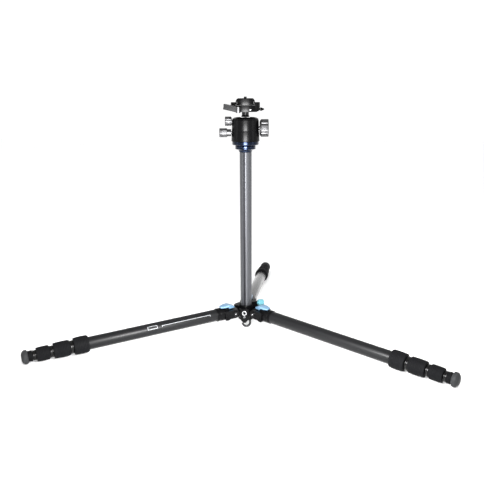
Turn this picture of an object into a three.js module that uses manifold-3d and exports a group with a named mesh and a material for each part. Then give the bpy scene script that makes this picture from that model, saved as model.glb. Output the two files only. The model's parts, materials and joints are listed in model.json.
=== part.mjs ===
// Travel tripod with a ball head: three four-section legs spread wide, a grooved centre column,
// a ball head with three knobs, and a lever clamp with a quick-release plate.
// Millimetres, +Z up. The origin is on the floor under the column; the back leg points along +Y.
import * as THREE from 'three';
import * as BufferGeometryUtils from 'three/addons/utils/BufferGeometryUtils.js';
import Module from 'manifold-3d';

const wasm = await Module();
wasm.setup();

// ---------------------------------------------------------------- driving dimensions
const GAP = 0.3;
const ROUND = 16;
const FINE = 28;
const SMALL = 12;
const TINY = 8;
const FAR = 60;

const LEG_AZIMUTHS = { left: 210, right: 330, back: 90 };
const LEG_SLOPE = 4.195;
const LEG_PIVOT_RADIUS = 30;
const TUBE_RADII = [12.5, 11, 9.5, 8];
const TUBE_WALL = 1.2;
const TUBE_STARTS = [20.5, 40, 46, 52];
const TUBE_ENDS = [329.6, 367.1, 399.1, 413];
const CASTING_END = 38.1;
const CASTING_RADIUS = 13.8;
const LOCKS = [
  { start: 302.2, end: 337.0, radius: 17.2 },
  { start: 337.3, end: 374.6, radius: 15.6 },
  { start: 374.9, end: 406.1, radius: 13.9 },
];
const FOOT_START = 406.4;
const FOOT_CONTACT = 422.7;
const FOOT_TIP = 427;
const FOOT_FLANGE_RADIUS = 13.5;

const LUG_HALF_WIDTH = 10;
const LUG_RADIUS = 10;
const CHEEK_INNER = 10.3;
const CHEEK_OUTER = 16.8;
const CHEEK_RADIUS = 9;
const BOLT_RADIUS = 3.5;
const BOLT_HEAD_RADIUS = 5.5;
const BOLT_HEAD_THICKNESS = 1.6;
const LATCH_PASSAGE_HALF_WIDTH = 9.2;
const LATCH_HALF_WIDTH = 8.5;
const FOOT_NECK_RADIUS = 10.6;
const FOOT_FLANGE_THICKNESS = 6.4;

const HUB_RADIUS = 16.2;
const COLLAR_RADIUS = 15;
const HUB_BOTTOM = -19;
const CROWN_TOP = 13.2;
const BOSS_FACE = 26.3;
const COLUMN_CLEAR_RADIUS = 13.1;
const BUSHING_POCKET_RADIUS = 14.6;
const BUSHING_POCKET_TOP = -4;
const PORT_HEIGHT = 1.3;
const PORT_HOLE_RADIUS = 4;
const PORT_SCREW_HEIGHT = -7.3;
const PORT_SCREW_HOLE_RADIUS = 1.6;
const PORT_DEPTH = 6;
const COLUMN_KNOB_AZIMUTH = 30;
const COLUMN_KNOB_HEIGHT = 11.5;
const COLUMN_KNOB_RADIUS = 6;
const COLUMN_KNOB_SHANK = 2.4;
const COLUMN_KNOB_BLOCK_HALF_WIDTH = 6.5;
const COLUMN_KNOB_BLOCK_FACE = 23;

const COLUMN_BOTTOM = -12;
const COLUMN_TOP = 333.4;
const COLUMN_BORE = 9.6;
const COLUMN_FACE_DISTANCE = 11.3;
const COLUMN_FACE_CURVE = 16;
const COLUMN_GROOVE_TURN = 265;
const COLUMN_GROOVE_HALF_ANGLE = 11;
const COLUMN_GROOVE_DEPTH = 1.9;
const HOOK_TURN = 7.5;
const HOOK_WIRE = 2.35;
const HOOK_BEND = 7.9;
const HOOK_SHANK = 8.6;
const HOOK_BOTTOM = -39.5;
const HOOK_ARC_END = -172;
const END_CAP_RADIUS = 12.2;
const END_CAP_BOTTOM = -20.4;

const HEAD_TURN = 7.1;
const PLATFORM_RADIUS = 20.5;
const PAN_BASE_RADIUS = 26.6;
const PAN_BASE_BOTTOM = 348.1;
const HOUSING_BOTTOM = 355.2;
const HOUSING_SHOULDER = 397.4;
const HOUSING_RADIUS_LOW = 28;
const HOUSING_RADIUS_HIGH = 26.5;
const COLLAR_TOP = 402.3;
const BALL_CENTRE = 384.2;
const BALL_RADIUS = 18;
const NOTCH_HALF_WIDTH = 9.5;
const MAIN_KNOB_HEIGHT = 381;
const FRICTION_KNOB_HEIGHT = 394.5;
const PAN_KNOB_HEIGHT = 372;
const MAIN_SHANK = 3.6;
const FRICTION_SHANK = 2.3;
const PAN_SHANK = 2.6;
const STUD_RADIUS = 4.6;
const SPIGOT_RADIUS = 17;
const SEAT_RADIUS = 18.1;
const SEAT_RIM = 377.6;
const RETAINER_RADIUS = 22.7;

const CLAMP_BOTTOM = 412.4;
const CLAMP_FLOOR = 425.1;
const CLAMP_TOP = 431.3;
const CLAMP_HALF_WIDTH = 29;
const CLAMP_HALF_DEPTH = 18;
const PLATE_TOP = 438;
const PLATE_HALF_DEPTH = 19;
const PAD_THICKNESS = 0.8;
const SCREW_TOP = 442;
const LEVER_PIVOT = [-14, -25.5];
const LEVER_LENGTH = 35;
const LEVER_DIRECTION = 142;
const LEVER_RISE = 9.2;
const LEVER_HEIGHT = 416.2;
const LEVER_RIM = 5.4;
const LEVER_PIN = 1.6;
const RELEASE_PIN_HEIGHT = 417.6;
const RELEASE_PIN_RADIUS = 2;
const KEEPER_X = 9.9;
const KEEPER_HEIGHT = 416.5;
const KEEPER_RADIUS = 1.2;
const SCREW_RADIUS = 3.1;
const SCREW_HEAD_RADIUS = 7.9;

const rad = THREE.MathUtils.degToRad;
const PIVOT_HEIGHT = FOOT_CONTACT * Math.sin(rad(LEG_SLOPE)) + FOOT_FLANGE_RADIUS * Math.cos(rad(LEG_SLOPE));

// ---------------------------------------------------------------- finishes
function finish(color, roughness, metalness) {
  return { color, roughness, metalness };
}

const FINISHES = {
  satinBlack: finish(0x17171a, 0.38, 0.6),
  deepBlue: finish(0x18233f, 0.3, 0.8),
  skyBlue: finish(0x8fbfe6, 0.35, 0.7),
  turquoise: finish(0x63cbd6, 0.35, 0.7),
  silver: finish(0xb9babd, 0.3, 0.9),
  columnGrey: finish(0x77787c, 0.35, 0.9),
  carbon: finish(0x35363b, 0.35, 0.2),
  rubber: finish(0x202226, 0.85, 0),
  footGrey: finish(0x8d9092, 0.8, 0),
  nylon: finish(0x2a2a2c, 0.6, 0),
  steel: finish(0x8b8d90, 0.3, 1),
};

// ---------------------------------------------------------------- solids
function toSolid(geometry) {
  const bare = geometry.clone();
  bare.deleteAttribute('normal');
  bare.deleteAttribute('uv');
  const merged = BufferGeometryUtils.mergeVertices(bare, 1e-4);
  const mesh = new wasm.Mesh({
    numProp: 3,
    vertProperties: new Float32Array(merged.attributes.position.array),
    triVerts: new Uint32Array(merged.index.array),
  });
  return new wasm.Manifold(mesh);
}

function toGeometry(solid) {
  const mesh = solid.getMesh();
  const geometry = new THREE.BufferGeometry();
  geometry.setAttribute('position', new THREE.BufferAttribute(new Float32Array(mesh.vertProperties), 3));
  geometry.setIndex(new THREE.BufferAttribute(new Uint32Array(mesh.triVerts), 1));
  geometry.computeVertexNormals();
  return geometry;
}

function join(...geometries) {
  return toGeometry(geometries.map(toSolid).reduce((all, next) => all.add(next)));
}

function cut(geometry, ...tools) {
  return toGeometry(tools.map(toSolid).reduce((rest, tool) => rest.subtract(tool), toSolid(geometry)));
}

function overlap(first, second) {
  return toGeometry(toSolid(first).intersect(toSolid(second)));
}

// A profile of [radius, height] points turned about Z. The outer side is listed going up.
function turned(profile, segments = ROUND) {
  const points = profile.map(([radius, height]) => new THREE.Vector2(radius, height));
  return new THREE.LatheGeometry(points, segments).rotateX(Math.PI / 2);
}

// A closed ring: inner and outer radius between two heights.
function ring(inner, outer, low, high, segments = ROUND) {
  return turned([[inner, low], [outer, low], [outer, high], [inner, high], [inner, low]], segments);
}

function disc(radius, low, high, segments = ROUND) {
  return turned([[0, low], [radius, low], [radius, high], [0, high]], segments);
}

// An outline of [x, y] points raised from one height to another.
function prism(outline, low, high) {
  const shape = new THREE.Shape(outline.map(([x, y]) => new THREE.Vector2(x, y)));
  const geometry = new THREE.ExtrudeGeometry(shape, { depth: high - low, bevelEnabled: false });
  return geometry.translate(0, 0, low);
}

function box(x0, x1, y0, y1, z0, z1) {
  const geometry = new THREE.BoxGeometry(x1 - x0, y1 - y0, z1 - z0);
  return geometry.translate((x0 + x1) / 2, (y0 + y1) / 2, (z0 + z1) / 2);
}

// Turns a piece made along Z so that it lies along X, then raises it.
function alongX(geometry, height = 0) {
  return geometry.rotateY(Math.PI / 2).translate(0, 0, height);
}

// Turns a piece made along Z so that it lies along Y, then moves it.
function alongY(geometry, x = 0, height = 0) {
  return geometry.rotateX(-Math.PI / 2).translate(x, 0, height);
}

function arc(centreX, centreY, radius, fromDegrees, toDegrees, steps) {
  return Array.from({ length: steps + 1 }, (_, i) => {
    const angle = rad(fromDegrees + ((toDegrees - fromDegrees) * i) / steps);
    return [centreX + radius * Math.cos(angle), centreY + radius * Math.sin(angle)];
  });
}

function mesh(name, geometry, finishName) {
  const piece = new THREE.Mesh(geometry, new THREE.MeshStandardMaterial(FINISHES[finishName]));
  piece.name = name;
  return piece;
}

// ---------------------------------------------------------------- legs
// Leg pieces are made along +X from the pivot axis, with the pivot along Y.
function legTube(index) {
  const radius = TUBE_RADII[index];
  return alongX(ring(radius - TUBE_WALL, radius, TUBE_STARTS[index], TUBE_ENDS[index]));
}

function legCasting() {
  const cheekOutline = [
    ...arc(0, 0, CHEEK_RADIUS, 90, 270, 7),
    [12, -CHEEK_RADIUS],
    [16, -11],
    [22, -11],
    [22, 9],
    [16, CHEEK_RADIUS],
  ];
  const cheeks = [-CHEEK_OUTER, CHEEK_INNER].map((side) =>
    prism(cheekOutline, side, side + CHEEK_OUTER - CHEEK_INNER).rotateX(Math.PI / 2),
  );
  const body = alongX(turned([
    [0, 11.5], [12.2, 11.5], [CASTING_RADIUS, 14], [CASTING_RADIUS, CASTING_END], [0, CASTING_END],
  ]));
  const socket = alongX(disc(TUBE_RADII[0] + GAP, TUBE_STARTS[0] - GAP, CASTING_END + 5));
  const latchHalf = LATCH_HALF_WIDTH + GAP;
  const latchRecess = box(5, 17.5, -latchHalf, latchHalf, 10.2, 20);
  const boltHole = alongY(disc(BOLT_RADIUS + GAP, -FAR, FAR, SMALL));
  return cut(join(body, ...cheeks), socket, latchRecess, boltHole);
}

function angleLatch() {
  const side = [
    [-2, 10.6], [10.5, 10.6], [10.5, 14.2], [25, 14.2], [28.5, 14.6],
    [28.5, 16.6], [25, 17.2], [11, 18.7], [7, 17.4], [-2, 13.2],
  ];
  const plan = [
    [-3, -5.5], [9, -LATCH_HALF_WIDTH], [20, -LATCH_HALF_WIDTH], [29, -5],
    [29, 5], [20, LATCH_HALF_WIDTH], [9, LATCH_HALF_WIDTH], [-3, 5.5],
  ];
  const raised = prism(side, -9, 9).rotateX(Math.PI / 2);
  return overlap(raised, prism(plan, 5, 25));
}

function pivotBolt() {
  const inner = CHEEK_OUTER + GAP;
  const outer = inner + BOLT_HEAD_THICKNESS;
  return alongY(turned([
    [0, -outer], [BOLT_HEAD_RADIUS, -outer], [BOLT_HEAD_RADIUS, -inner], [BOLT_RADIUS, -inner],
    [BOLT_RADIUS, inner], [BOLT_HEAD_RADIUS, inner], [BOLT_HEAD_RADIUS, outer], [0, outer],
  ], SMALL));
}

function twistLock(index) {
  const { start, end, radius } = LOCKS[index];
  const wide = TUBE_RADII[index] + GAP;
  const narrow = TUBE_RADII[index + 1] + GAP;
  const step = TUBE_ENDS[index] + GAP;
  return alongX(turned([
    [wide, start], [radius - 1, start], [radius, start + 1.6], [radius, end - 1.6], [radius - 1, end],
    [narrow, end], [narrow, step], [wide, step], [wide, start],
  ]));
}

function foot() {
  const bore = TUBE_RADII[3] + GAP;
  const flange = FOOT_CONTACT - FOOT_FLANGE_THICKNESS;
  return alongX(turned([
    [0, TUBE_ENDS[3] + GAP], [bore, TUBE_ENDS[3] + GAP], [bore, FOOT_START], [FOOT_NECK_RADIUS, FOOT_START],
    [FOOT_NECK_RADIUS, flange - 2], [FOOT_FLANGE_RADIUS, flange], [FOOT_FLANGE_RADIUS, FOOT_CONTACT],
    [10.8, FOOT_CONTACT + 2.1], [6, FOOT_TIP], [0, FOOT_TIP],
  ]));
}

function makeLeg(side) {
  const azimuth = rad(LEG_AZIMUTHS[side]);
  const leg = new THREE.Group();
  leg.rotation.order = 'ZYX';
  leg.rotation.z = azimuth;
  leg.rotation.y = rad(LEG_SLOPE);
  leg.position.set(
    LEG_PIVOT_RADIUS * Math.cos(azimuth),
    LEG_PIVOT_RADIUS * Math.sin(azimuth),
    PIVOT_HEIGHT,
  );
  leg.add(mesh(`leg_casting_${side}`, legCasting(), 'satinBlack'));
  leg.add(mesh(`angle_latch_${side}`, angleLatch(), 'skyBlue'));
  leg.add(mesh(`pivot_bolt_${side}`, pivotBolt(), 'silver'));
  TUBE_RADII.forEach((_, index) => {
    leg.add(mesh(`leg_tube_${index + 1}_${side}`, legTube(index), 'carbon'));
  });
  LOCKS.forEach((_, index) => {
    leg.add(mesh(`twist_lock_${index + 1}_${side}`, twistLock(index), 'rubber'));
  });
  leg.add(mesh(`foot_${side}`, foot(), 'footGrey'));
  return leg;
}

// ---------------------------------------------------------------- crown
function turnedTo(geometry, degrees) {
  return geometry.rotateZ(rad(degrees));
}

function crownLug(azimuth) {
  const outline = [
    [8, -8.5], [LEG_PIVOT_RADIUS - 4, -8.5],
    ...arc(LEG_PIVOT_RADIUS, 0, LUG_RADIUS, -60, 60, 5),
    [LEG_PIVOT_RADIUS - 4, 8.5], [14, 5], [8, 5],
  ];
  const lug = prism(outline, -LUG_HALF_WIDTH, LUG_HALF_WIDTH).rotateX(Math.PI / 2);
  const hole = alongY(disc(BOLT_RADIUS + GAP, -FAR, FAR, SMALL), LEG_PIVOT_RADIUS);
  return turnedTo(cut(lug, hole), azimuth);
}

// A boss between two legs: its front view narrows to a rounded point below.
function crownBoss(azimuth) {
  const front = [
    [-12, 9], [-12, -6], [-8.5, -13], [-3, -20], [0, -20.6], [3, -20], [8.5, -13], [12, -6], [12, 9],
  ];
  const plan = [[10, -14], [17.5, -12.4], [BOSS_FACE, -8.8], [BOSS_FACE, 8.8], [17.5, 12.4], [10, 14]];
  const slab = prism(front, 10, BOSS_FACE + 5).rotateX(Math.PI / 2).rotateZ(Math.PI / 2);
  return turnedTo(overlap(slab, prism(plan, -30, 30)), azimuth);
}

function frontHole(radius, height, segments) {
  return turnedTo(alongX(disc(radius, BOSS_FACE - PORT_DEPTH, BOSS_FACE + PORT_DEPTH, segments), height), 270);
}

// The way above a lug that lets the angle latch pass when its leg folds up over the crown.
function latchPassage(azimuth) {
  const outline = [
    [14.35, 15], [14.35, 11.2], [16.1, 0.3],
    ...arc(LEG_PIVOT_RADIUS, 0, CHEEK_INNER, 178, 92, 8), [LEG_PIVOT_RADIUS, 15],
  ];
  return turnedTo(prism(outline, -LATCH_PASSAGE_HALF_WIDTH, LATCH_PASSAGE_HALF_WIDTH).rotateX(Math.PI / 2), azimuth);
}

function crown() {
  const hub = turned([
    [0, HUB_BOTTOM], [HUB_RADIUS, HUB_BOTTOM], [HUB_RADIUS, 1],
    [COLLAR_RADIUS, 2], [COLLAR_RADIUS, CROWN_TOP], [0, CROWN_TOP],
  ], FINE);
  const azimuths = Object.values(LEG_AZIMUTHS);
  const lugs = azimuths.map(crownLug);
  const bosses = azimuths.map((azimuth) => crownBoss(azimuth + 60));
  const knobBlock = turnedTo(
    box(10, COLUMN_KNOB_BLOCK_FACE, -COLUMN_KNOB_BLOCK_HALF_WIDTH, COLUMN_KNOB_BLOCK_HALF_WIDTH, 0, COLUMN_KNOB_HEIGHT + 6),
    COLUMN_KNOB_AZIMUTH,
  );
  const knobHole = turnedTo(
    alongX(disc(COLUMN_KNOB_SHANK + 0.4, 10, 30, SMALL), COLUMN_KNOB_HEIGHT),
    COLUMN_KNOB_AZIMUTH,
  );
  const columnBore = disc(COLUMN_CLEAR_RADIUS, -FAR, FAR, FINE);
  const bushingPocket = disc(BUSHING_POCKET_RADIUS, -FAR, BUSHING_POCKET_TOP, FINE);
  const portHole = frontHole(PORT_HOLE_RADIUS, PORT_HEIGHT, SMALL);
  const screwHole = frontHole(PORT_SCREW_HOLE_RADIUS, PORT_SCREW_HEIGHT, TINY);
  const body = join(hub, ...lugs, ...bosses, knobBlock);
  return cut(body, columnBore, bushingPocket, knobHole, portHole, screwHole, ...azimuths.map(latchPassage));
}

function accessoryPort() {
  const profile = [
    [0, BOSS_FACE - 5.7], [3.7, BOSS_FACE - 5.7], [3.7, BOSS_FACE + GAP], [5, BOSS_FACE + GAP],
    [5, BOSS_FACE + 2], [2.4, BOSS_FACE + 2], [2.4, BOSS_FACE - 4], [0, BOSS_FACE - 4],
  ];
  return turnedTo(alongX(turned(profile, SMALL), PORT_HEIGHT), 270);
}

function portScrew() {
  const profile = [
    [0, BOSS_FACE - 5.5], [1.2, BOSS_FACE - 5.5], [1.2, BOSS_FACE + GAP], [2.6, BOSS_FACE + GAP],
    [2, BOSS_FACE + 1.5], [0, BOSS_FACE + 1.5],
  ];
  return turnedTo(alongX(turned(profile, TINY), PORT_SCREW_HEIGHT), 270);
}

// A knob outline with shallow flutes, as a ring of [x, y] points.
function flutedOutline(radius, depth, flutes) {
  const steps = flutes * 4;
  return Array.from({ length: steps }, (_, i) => {
    const angle = (2 * Math.PI * i) / steps;
    const reach = i % 4 === 0 ? radius - depth : radius;
    return [reach * Math.cos(angle), reach * Math.sin(angle)];
  });
}

function columnLockKnob() {
  const grip = prism(flutedOutline(COLUMN_KNOB_RADIUS, 0.7, 8), 28.5, 40);
  const neck = disc(4, 26.7, 29, SMALL);
  const shank = disc(COLUMN_KNOB_SHANK, 15.2, 27, SMALL);
  return turnedTo(alongX(join(grip, neck, shank), COLUMN_KNOB_HEIGHT), COLUMN_KNOB_AZIMUTH);
}

// ---------------------------------------------------------------- column
// Three gently curved faces with a lengthwise groove at each corner between them.
function columnOutline() {
  const points = [];
  for (let face = 0; face < 3; face += 1) {
    const grooveAngle = COLUMN_GROOVE_TURN + 120 * face;
    for (let step = 0; step <= 10; step += 1) {
      const fromMiddle = -60 + COLUMN_GROOVE_HALF_ANGLE + ((120 - 2 * COLUMN_GROOVE_HALF_ANGLE) * step) / 10;
      const inset = COLUMN_FACE_CURVE - COLUMN_FACE_DISTANCE;
      const angle = rad(fromMiddle);
      const reach = -inset * Math.cos(angle)
        + Math.sqrt(COLUMN_FACE_CURVE ** 2 - (inset * Math.sin(angle)) ** 2);
      const direction = rad(grooveAngle + 60 + fromMiddle);
      points.push([reach * Math.cos(direction), reach * Math.sin(direction)]);
    }
    const floor = COLUMN_FACE_DISTANCE + 1 - COLUMN_GROOVE_DEPTH;
    for (const offset of [-0.75, 0.75]) {
      const direction = rad(grooveAngle + 120 + offset * COLUMN_GROOVE_HALF_ANGLE);
      points.push([floor * Math.cos(direction), floor * Math.sin(direction)]);
    }
  }
  return points;
}

function columnTube() {
  return cut(
    prism(columnOutline(), COLUMN_BOTTOM, COLUMN_TOP),
    disc(COLUMN_BORE, COLUMN_BOTTOM - 5, COLUMN_TOP + 5),
  );
}

function columnEndCap() {
  const shell = turned([
    [0, END_CAP_BOTTOM], [END_CAP_RADIUS, END_CAP_BOTTOM], [END_CAP_RADIUS, COLUMN_BOTTOM - GAP], [COLUMN_BORE - GAP, COLUMN_BOTTOM - GAP],
    [COLUMN_BORE - GAP, COLUMN_BOTTOM + 8], [0, COLUMN_BOTTOM + 8],
  ], FINE);
  const shankHole = disc(HOOK_WIRE + GAP, -30, -14, SMALL).translate(HOOK_SHANK, 0, 0);
  return cut(shell, turnedTo(shankHole, HOOK_TURN));
}

// A J-shaped hook: a straight shank, then most of a half circle.
function bagHook() {
  const bendHeight = HOOK_BOTTOM + HOOK_WIRE + HOOK_BEND;
  const middle = HOOK_SHANK - HOOK_BEND;
  const points = [[HOOK_SHANK, -14.4], [HOOK_SHANK, -22], ...arc(middle, bendHeight, HOOK_BEND, 0, HOOK_ARC_END, 8)];
  const route = new THREE.CatmullRomCurve3(
    points.map(([x, z]) => new THREE.Vector3(x, 0, z)), false, 'centripetal',
  );
  const section = new THREE.Shape(arc(0, 0, HOOK_WIRE, 0, 315, 7).map(([x, y]) => new THREE.Vector2(x, y)));
  const wire = new THREE.ExtrudeGeometry(section, { steps: 16, extrudePath: route, bevelEnabled: false });
  return turnedTo(wire, HOOK_TURN);
}

function columnBushing() {
  return ring(COLUMN_CLEAR_RADIUS - 0.25, BUSHING_POCKET_RADIUS - GAP, HUB_BOTTOM + 0.4, BUSHING_POCKET_TOP - GAP, FINE);
}

function columnPlatform() {
  const body = turned([
    [0, 322], [COLUMN_BORE - GAP, 322], [COLUMN_BORE - GAP, COLUMN_TOP + GAP], [12.6, COLUMN_TOP + GAP],
    [14, 338], [PLATFORM_RADIUS, 339.8], [PLATFORM_RADIUS, 345.6], [19.5, 347.8], [0, 347.8],
  ], FINE);
  return cut(body, disc(STUD_RADIUS + 0.4, 335, 360));
}

// ---------------------------------------------------------------- ball head
function panBase() {
  const body = turned([
    [0, PAN_BASE_BOTTOM], [PAN_BASE_RADIUS, PAN_BASE_BOTTOM],
    [PAN_BASE_RADIUS, HOUSING_BOTTOM - GAP], [SPIGOT_RADIUS, HOUSING_BOTTOM - GAP], [SPIGOT_RADIUS, 361], [0, 361],
  ], FINE);
  return cut(body, disc(STUD_RADIUS + 0.4, 340, 356));
}

function dropNotch() {
  const outline = [
    [-NOTCH_HALF_WIDTH, 30],
    ...arc(0, 0, NOTCH_HALF_WIDTH, 180, 360, 8),
    [NOTCH_HALF_WIDTH, 30],
  ];
  return prism(outline, -60, 0).rotateX(Math.PI / 2).translate(0, 0, BALL_CENTRE);
}

function headHousing() {
  const pocket = RETAINER_RADIUS + GAP;
  const spigotHole = SPIGOT_RADIUS + GAP;
  const seatHole = SEAT_RADIUS + GAP;
  const body = turned([
    [spigotHole, HOUSING_BOTTOM], [HOUSING_RADIUS_LOW, HOUSING_BOTTOM], [HOUSING_RADIUS_HIGH, HOUSING_SHOULDER],
    [pocket, HOUSING_SHOULDER], [pocket, 387.6], [seatHole, 387.6], [seatHole, 361.3],
    [spigotHole, 361.3], [spigotHole, HOUSING_BOTTOM],
  ], FINE);
  const mainHole = alongX(disc(MAIN_SHANK + GAP, 15, 40, SMALL), MAIN_KNOB_HEIGHT);
  const frictionHole = alongX(disc(FRICTION_SHANK + GAP, -40, -20, SMALL), FRICTION_KNOB_HEIGHT);
  const panHole = alongX(disc(PAN_SHANK + GAP, -40, -15, SMALL), PAN_KNOB_HEIGHT);
  return cut(body, dropNotch(), mainHole, frictionHole, panHole);
}

// The lower cup that carries the ball.
function ballSeat() {
  const clearance = BALL_RADIUS + GAP;
  const rimAngle = THREE.MathUtils.radToDeg(Math.asin((SEAT_RIM - BALL_CENTRE) / clearance));
  const bowl = arc(0, BALL_CENTRE, clearance, rimAngle, -90, 5);
  return turned([[0, 361.6], [SEAT_RADIUS, 361.6], [SEAT_RADIUS, SEAT_RIM], ...bowl], FINE);
}

// The ring that closes the housing over the ball, with a sloping mouth for the stem.
function ballRetainer() {
  const body = turned([
    [17.9, 388], [RETAINER_RADIUS, 388], [RETAINER_RADIUS, HOUSING_SHOULDER + GAP], [26.2, HOUSING_SHOULDER + GAP], [25.8, 399.2],
    [22.7, 401.3], [19.4, COLLAR_TOP], [18.8, COLLAR_TOP], [17.1, 391], [17.9, 388],
  ], FINE);
  return cut(body, dropNotch());
}

function ball() {
  return new THREE.SphereGeometry(BALL_RADIUS, 20, 12).rotateX(Math.PI / 2).translate(0, 0, BALL_CENTRE);
}

function stem() {
  const foot = BALL_CENTRE + BALL_RADIUS + GAP;
  return turned([
    [0, foot], [6.6, foot], [8.4, foot + 0.9], [8.4, foot + 1.8], [7, foot + 3.6],
    [7, CLAMP_BOTTOM - GAP], [0, CLAMP_BOTTOM - GAP],
  ]);
}

function mainKnob() {
  const grip = prism(flutedOutline(17.5, 1.5, 12), 30.6, 46);
  const hub = turned([[0, 28.3], [9.5, 28.3], [10.5, 30.8], [0, 30.8]]);
  const shank = disc(MAIN_SHANK, 19, 29, SMALL);
  return alongX(join(grip, hub, shank), MAIN_KNOB_HEIGHT);
}

// A small knob on the left: fluted grip, collar and shank, made along -X.
function sideKnob({ radius, gripStart, gripEnd, collarRadius, collarStart, shankRadius, shankStart, height }) {
  const grip = prism(flutedOutline(radius, 0.9, 10), -gripEnd, -gripStart);
  const collar = disc(collarRadius, -gripStart - 1, -collarStart);
  const shank = disc(shankRadius, -collarStart - 1, -shankStart, SMALL);
  return alongX(join(grip, collar, shank), height);
}

function frictionKnob() {
  return sideKnob({
    radius: 9, gripStart: 28.6, gripEnd: 40.4, collarRadius: 5.5, collarStart: 27,
    shankRadius: FRICTION_SHANK, shankStart: 23.4, height: FRICTION_KNOB_HEIGHT,
  });
}

function panKnob() {
  return sideKnob({
    radius: 8.8, gripStart: 38, gripEnd: 52.5, collarRadius: 7, collarStart: 28.4,
    shankRadius: PAN_SHANK, shankStart: 18.8, height: PAN_KNOB_HEIGHT,
  });
}

// ---------------------------------------------------------------- clamp and plate
function clampOutline(halfWidth, halfDepth) {
  const inset = halfWidth - halfDepth;
  return [...arc(inset, 0, halfDepth, -90, 90, 10), ...arc(-inset, 0, halfDepth, 90, 270, 10)];
}

function clampBody() {
  const plan = prism(clampOutline(CLAMP_HALF_WIDTH, CLAMP_HALF_DEPTH), CLAMP_BOTTOM, CLAMP_TOP);
  const section = [
    [-29.5, CLAMP_FLOOR], [-29.5, 417], [-22, CLAMP_BOTTOM], [22, CLAMP_BOTTOM], [29.5, 416], [29.5, 430.4],
    [27.5, CLAMP_TOP], [16.1, CLAMP_TOP], [16.1, 430], [19, 427], [19, CLAMP_FLOOR],
  ];
  const block = overlap(plan, prism(section, -30, 30).rotateX(Math.PI / 2));
  const [pivotX, pivotY] = LEVER_PIVOT;
  const ear = join(
    disc(5, 423.4, CLAMP_FLOOR - 0.2).translate(pivotX, pivotY, 0),
    box(pivotX - 5, pivotX + 5, pivotY, -10, 423.4, CLAMP_FLOOR - 0.2),
  );
  const pinHole = disc(LEVER_PIN + GAP, 400, 440, SMALL).translate(pivotX, pivotY, 0);
  const releaseHole = alongX(disc(RELEASE_PIN_RADIUS + GAP, 20, 40, SMALL), RELEASE_PIN_HEIGHT);
  const screwHole = alongY(disc(KEEPER_RADIUS + 0.4, -30, -10, TINY), KEEPER_X, KEEPER_HEIGHT);
  return cut(join(block, ear), pinHole, releaseHole, screwHole);
}

function clampJaw() {
  const plan = prism(clampOutline(CLAMP_HALF_WIDTH - 0.2, CLAMP_HALF_DEPTH - 0.4), CLAMP_FLOOR + GAP, CLAMP_TOP);
  const section = [
    [-30, CLAMP_FLOOR + GAP], [-19, CLAMP_FLOOR + GAP], [-19, 427], [-16.1, 430], [-16.1, CLAMP_TOP],
    [-27.3, CLAMP_TOP], [-30, 429.8],
  ];
  return overlap(plan, prism(section, -30, 30).rotateX(Math.PI / 2));
}

// A grip bar with a waist between two rims. It rises from its pivot to its thumb end.
function clampLever() {
  const section = [
    [-3.7, -LEVER_RIM], [3.7, -LEVER_RIM], [3.7, LEVER_RIM], [-3.7, LEVER_RIM], [-3.7, 4.2], [-2.4, 2.6], [-2.4, -2.6], [-3.7, -4.2],
  ];
  const bar = prism(section, 0, LEVER_LENGTH).rotateY(Math.PI / 2).rotateX(Math.PI / 2);
  bar.rotateY(-rad(LEVER_RISE)).rotateZ(rad(LEVER_DIRECTION)).translate(0, 0, LEVER_HEIGHT);
  const eye = disc(4.6, 410.9, 421.6);
  const pin = disc(LEVER_PIN, 421, CLAMP_FLOOR - 0.6, SMALL);
  return join(bar, eye, pin).translate(LEVER_PIVOT[0], LEVER_PIVOT[1], 0);
}

function keeperScrew() {
  const face = -CLAMP_HALF_DEPTH - GAP;
  return alongY(turned([
    [0, face - 1.2], [1.9, face - 1.2], [2.4, face], [KEEPER_RADIUS, face], [KEEPER_RADIUS, -11], [0, -11],
  ], TINY), KEEPER_X, KEEPER_HEIGHT);
}

function plateReleasePin() {
  return alongX(turned([
    [0, 24], [RELEASE_PIN_RADIUS, 24], [RELEASE_PIN_RADIUS, 31], [1.6, 34], [0.9, 37.3], [0, 37.3],
  ], SMALL), RELEASE_PIN_HEIGHT);
}

function quickReleasePlate() {
  const half = [
    [18.5, 425.6], [18.5, 427], [15.6, 430], [15.6, CLAMP_TOP + 0.4], [18.8, CLAMP_TOP + 0.4],
    [18.8, 433.8], [16.2, PLATE_TOP],
  ];
  const mirrored = half.map(([x, z]) => [-x, z]).reverse();
  const bar = prism([...half, ...mirrored], -PLATE_HALF_DEPTH, PLATE_HALF_DEPTH).rotateX(Math.PI / 2);
  const shaftHole = disc(SCREW_RADIUS + 0.4, 400, 460);
  const headPocket = disc(SCREW_HEAD_RADIUS + 0.4, 400, 430);
  return cut(bar, shaftHole, headPocket);
}

function platePad() {
  const pad = box(-14.6, 14.6, -17.2, 17.2, PLATE_TOP + 0.05, PLATE_TOP + PAD_THICKNESS);
  return cut(pad, disc(5.5, 400, 460));
}

function cameraScrew() {
  return turned([
    [0, 426.2], [SCREW_HEAD_RADIUS, 426.2], [SCREW_HEAD_RADIUS, 429.6],
    [SCREW_RADIUS, 429.6], [SCREW_RADIUS, SCREW_TOP], [0, SCREW_TOP],
  ]);
}

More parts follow.
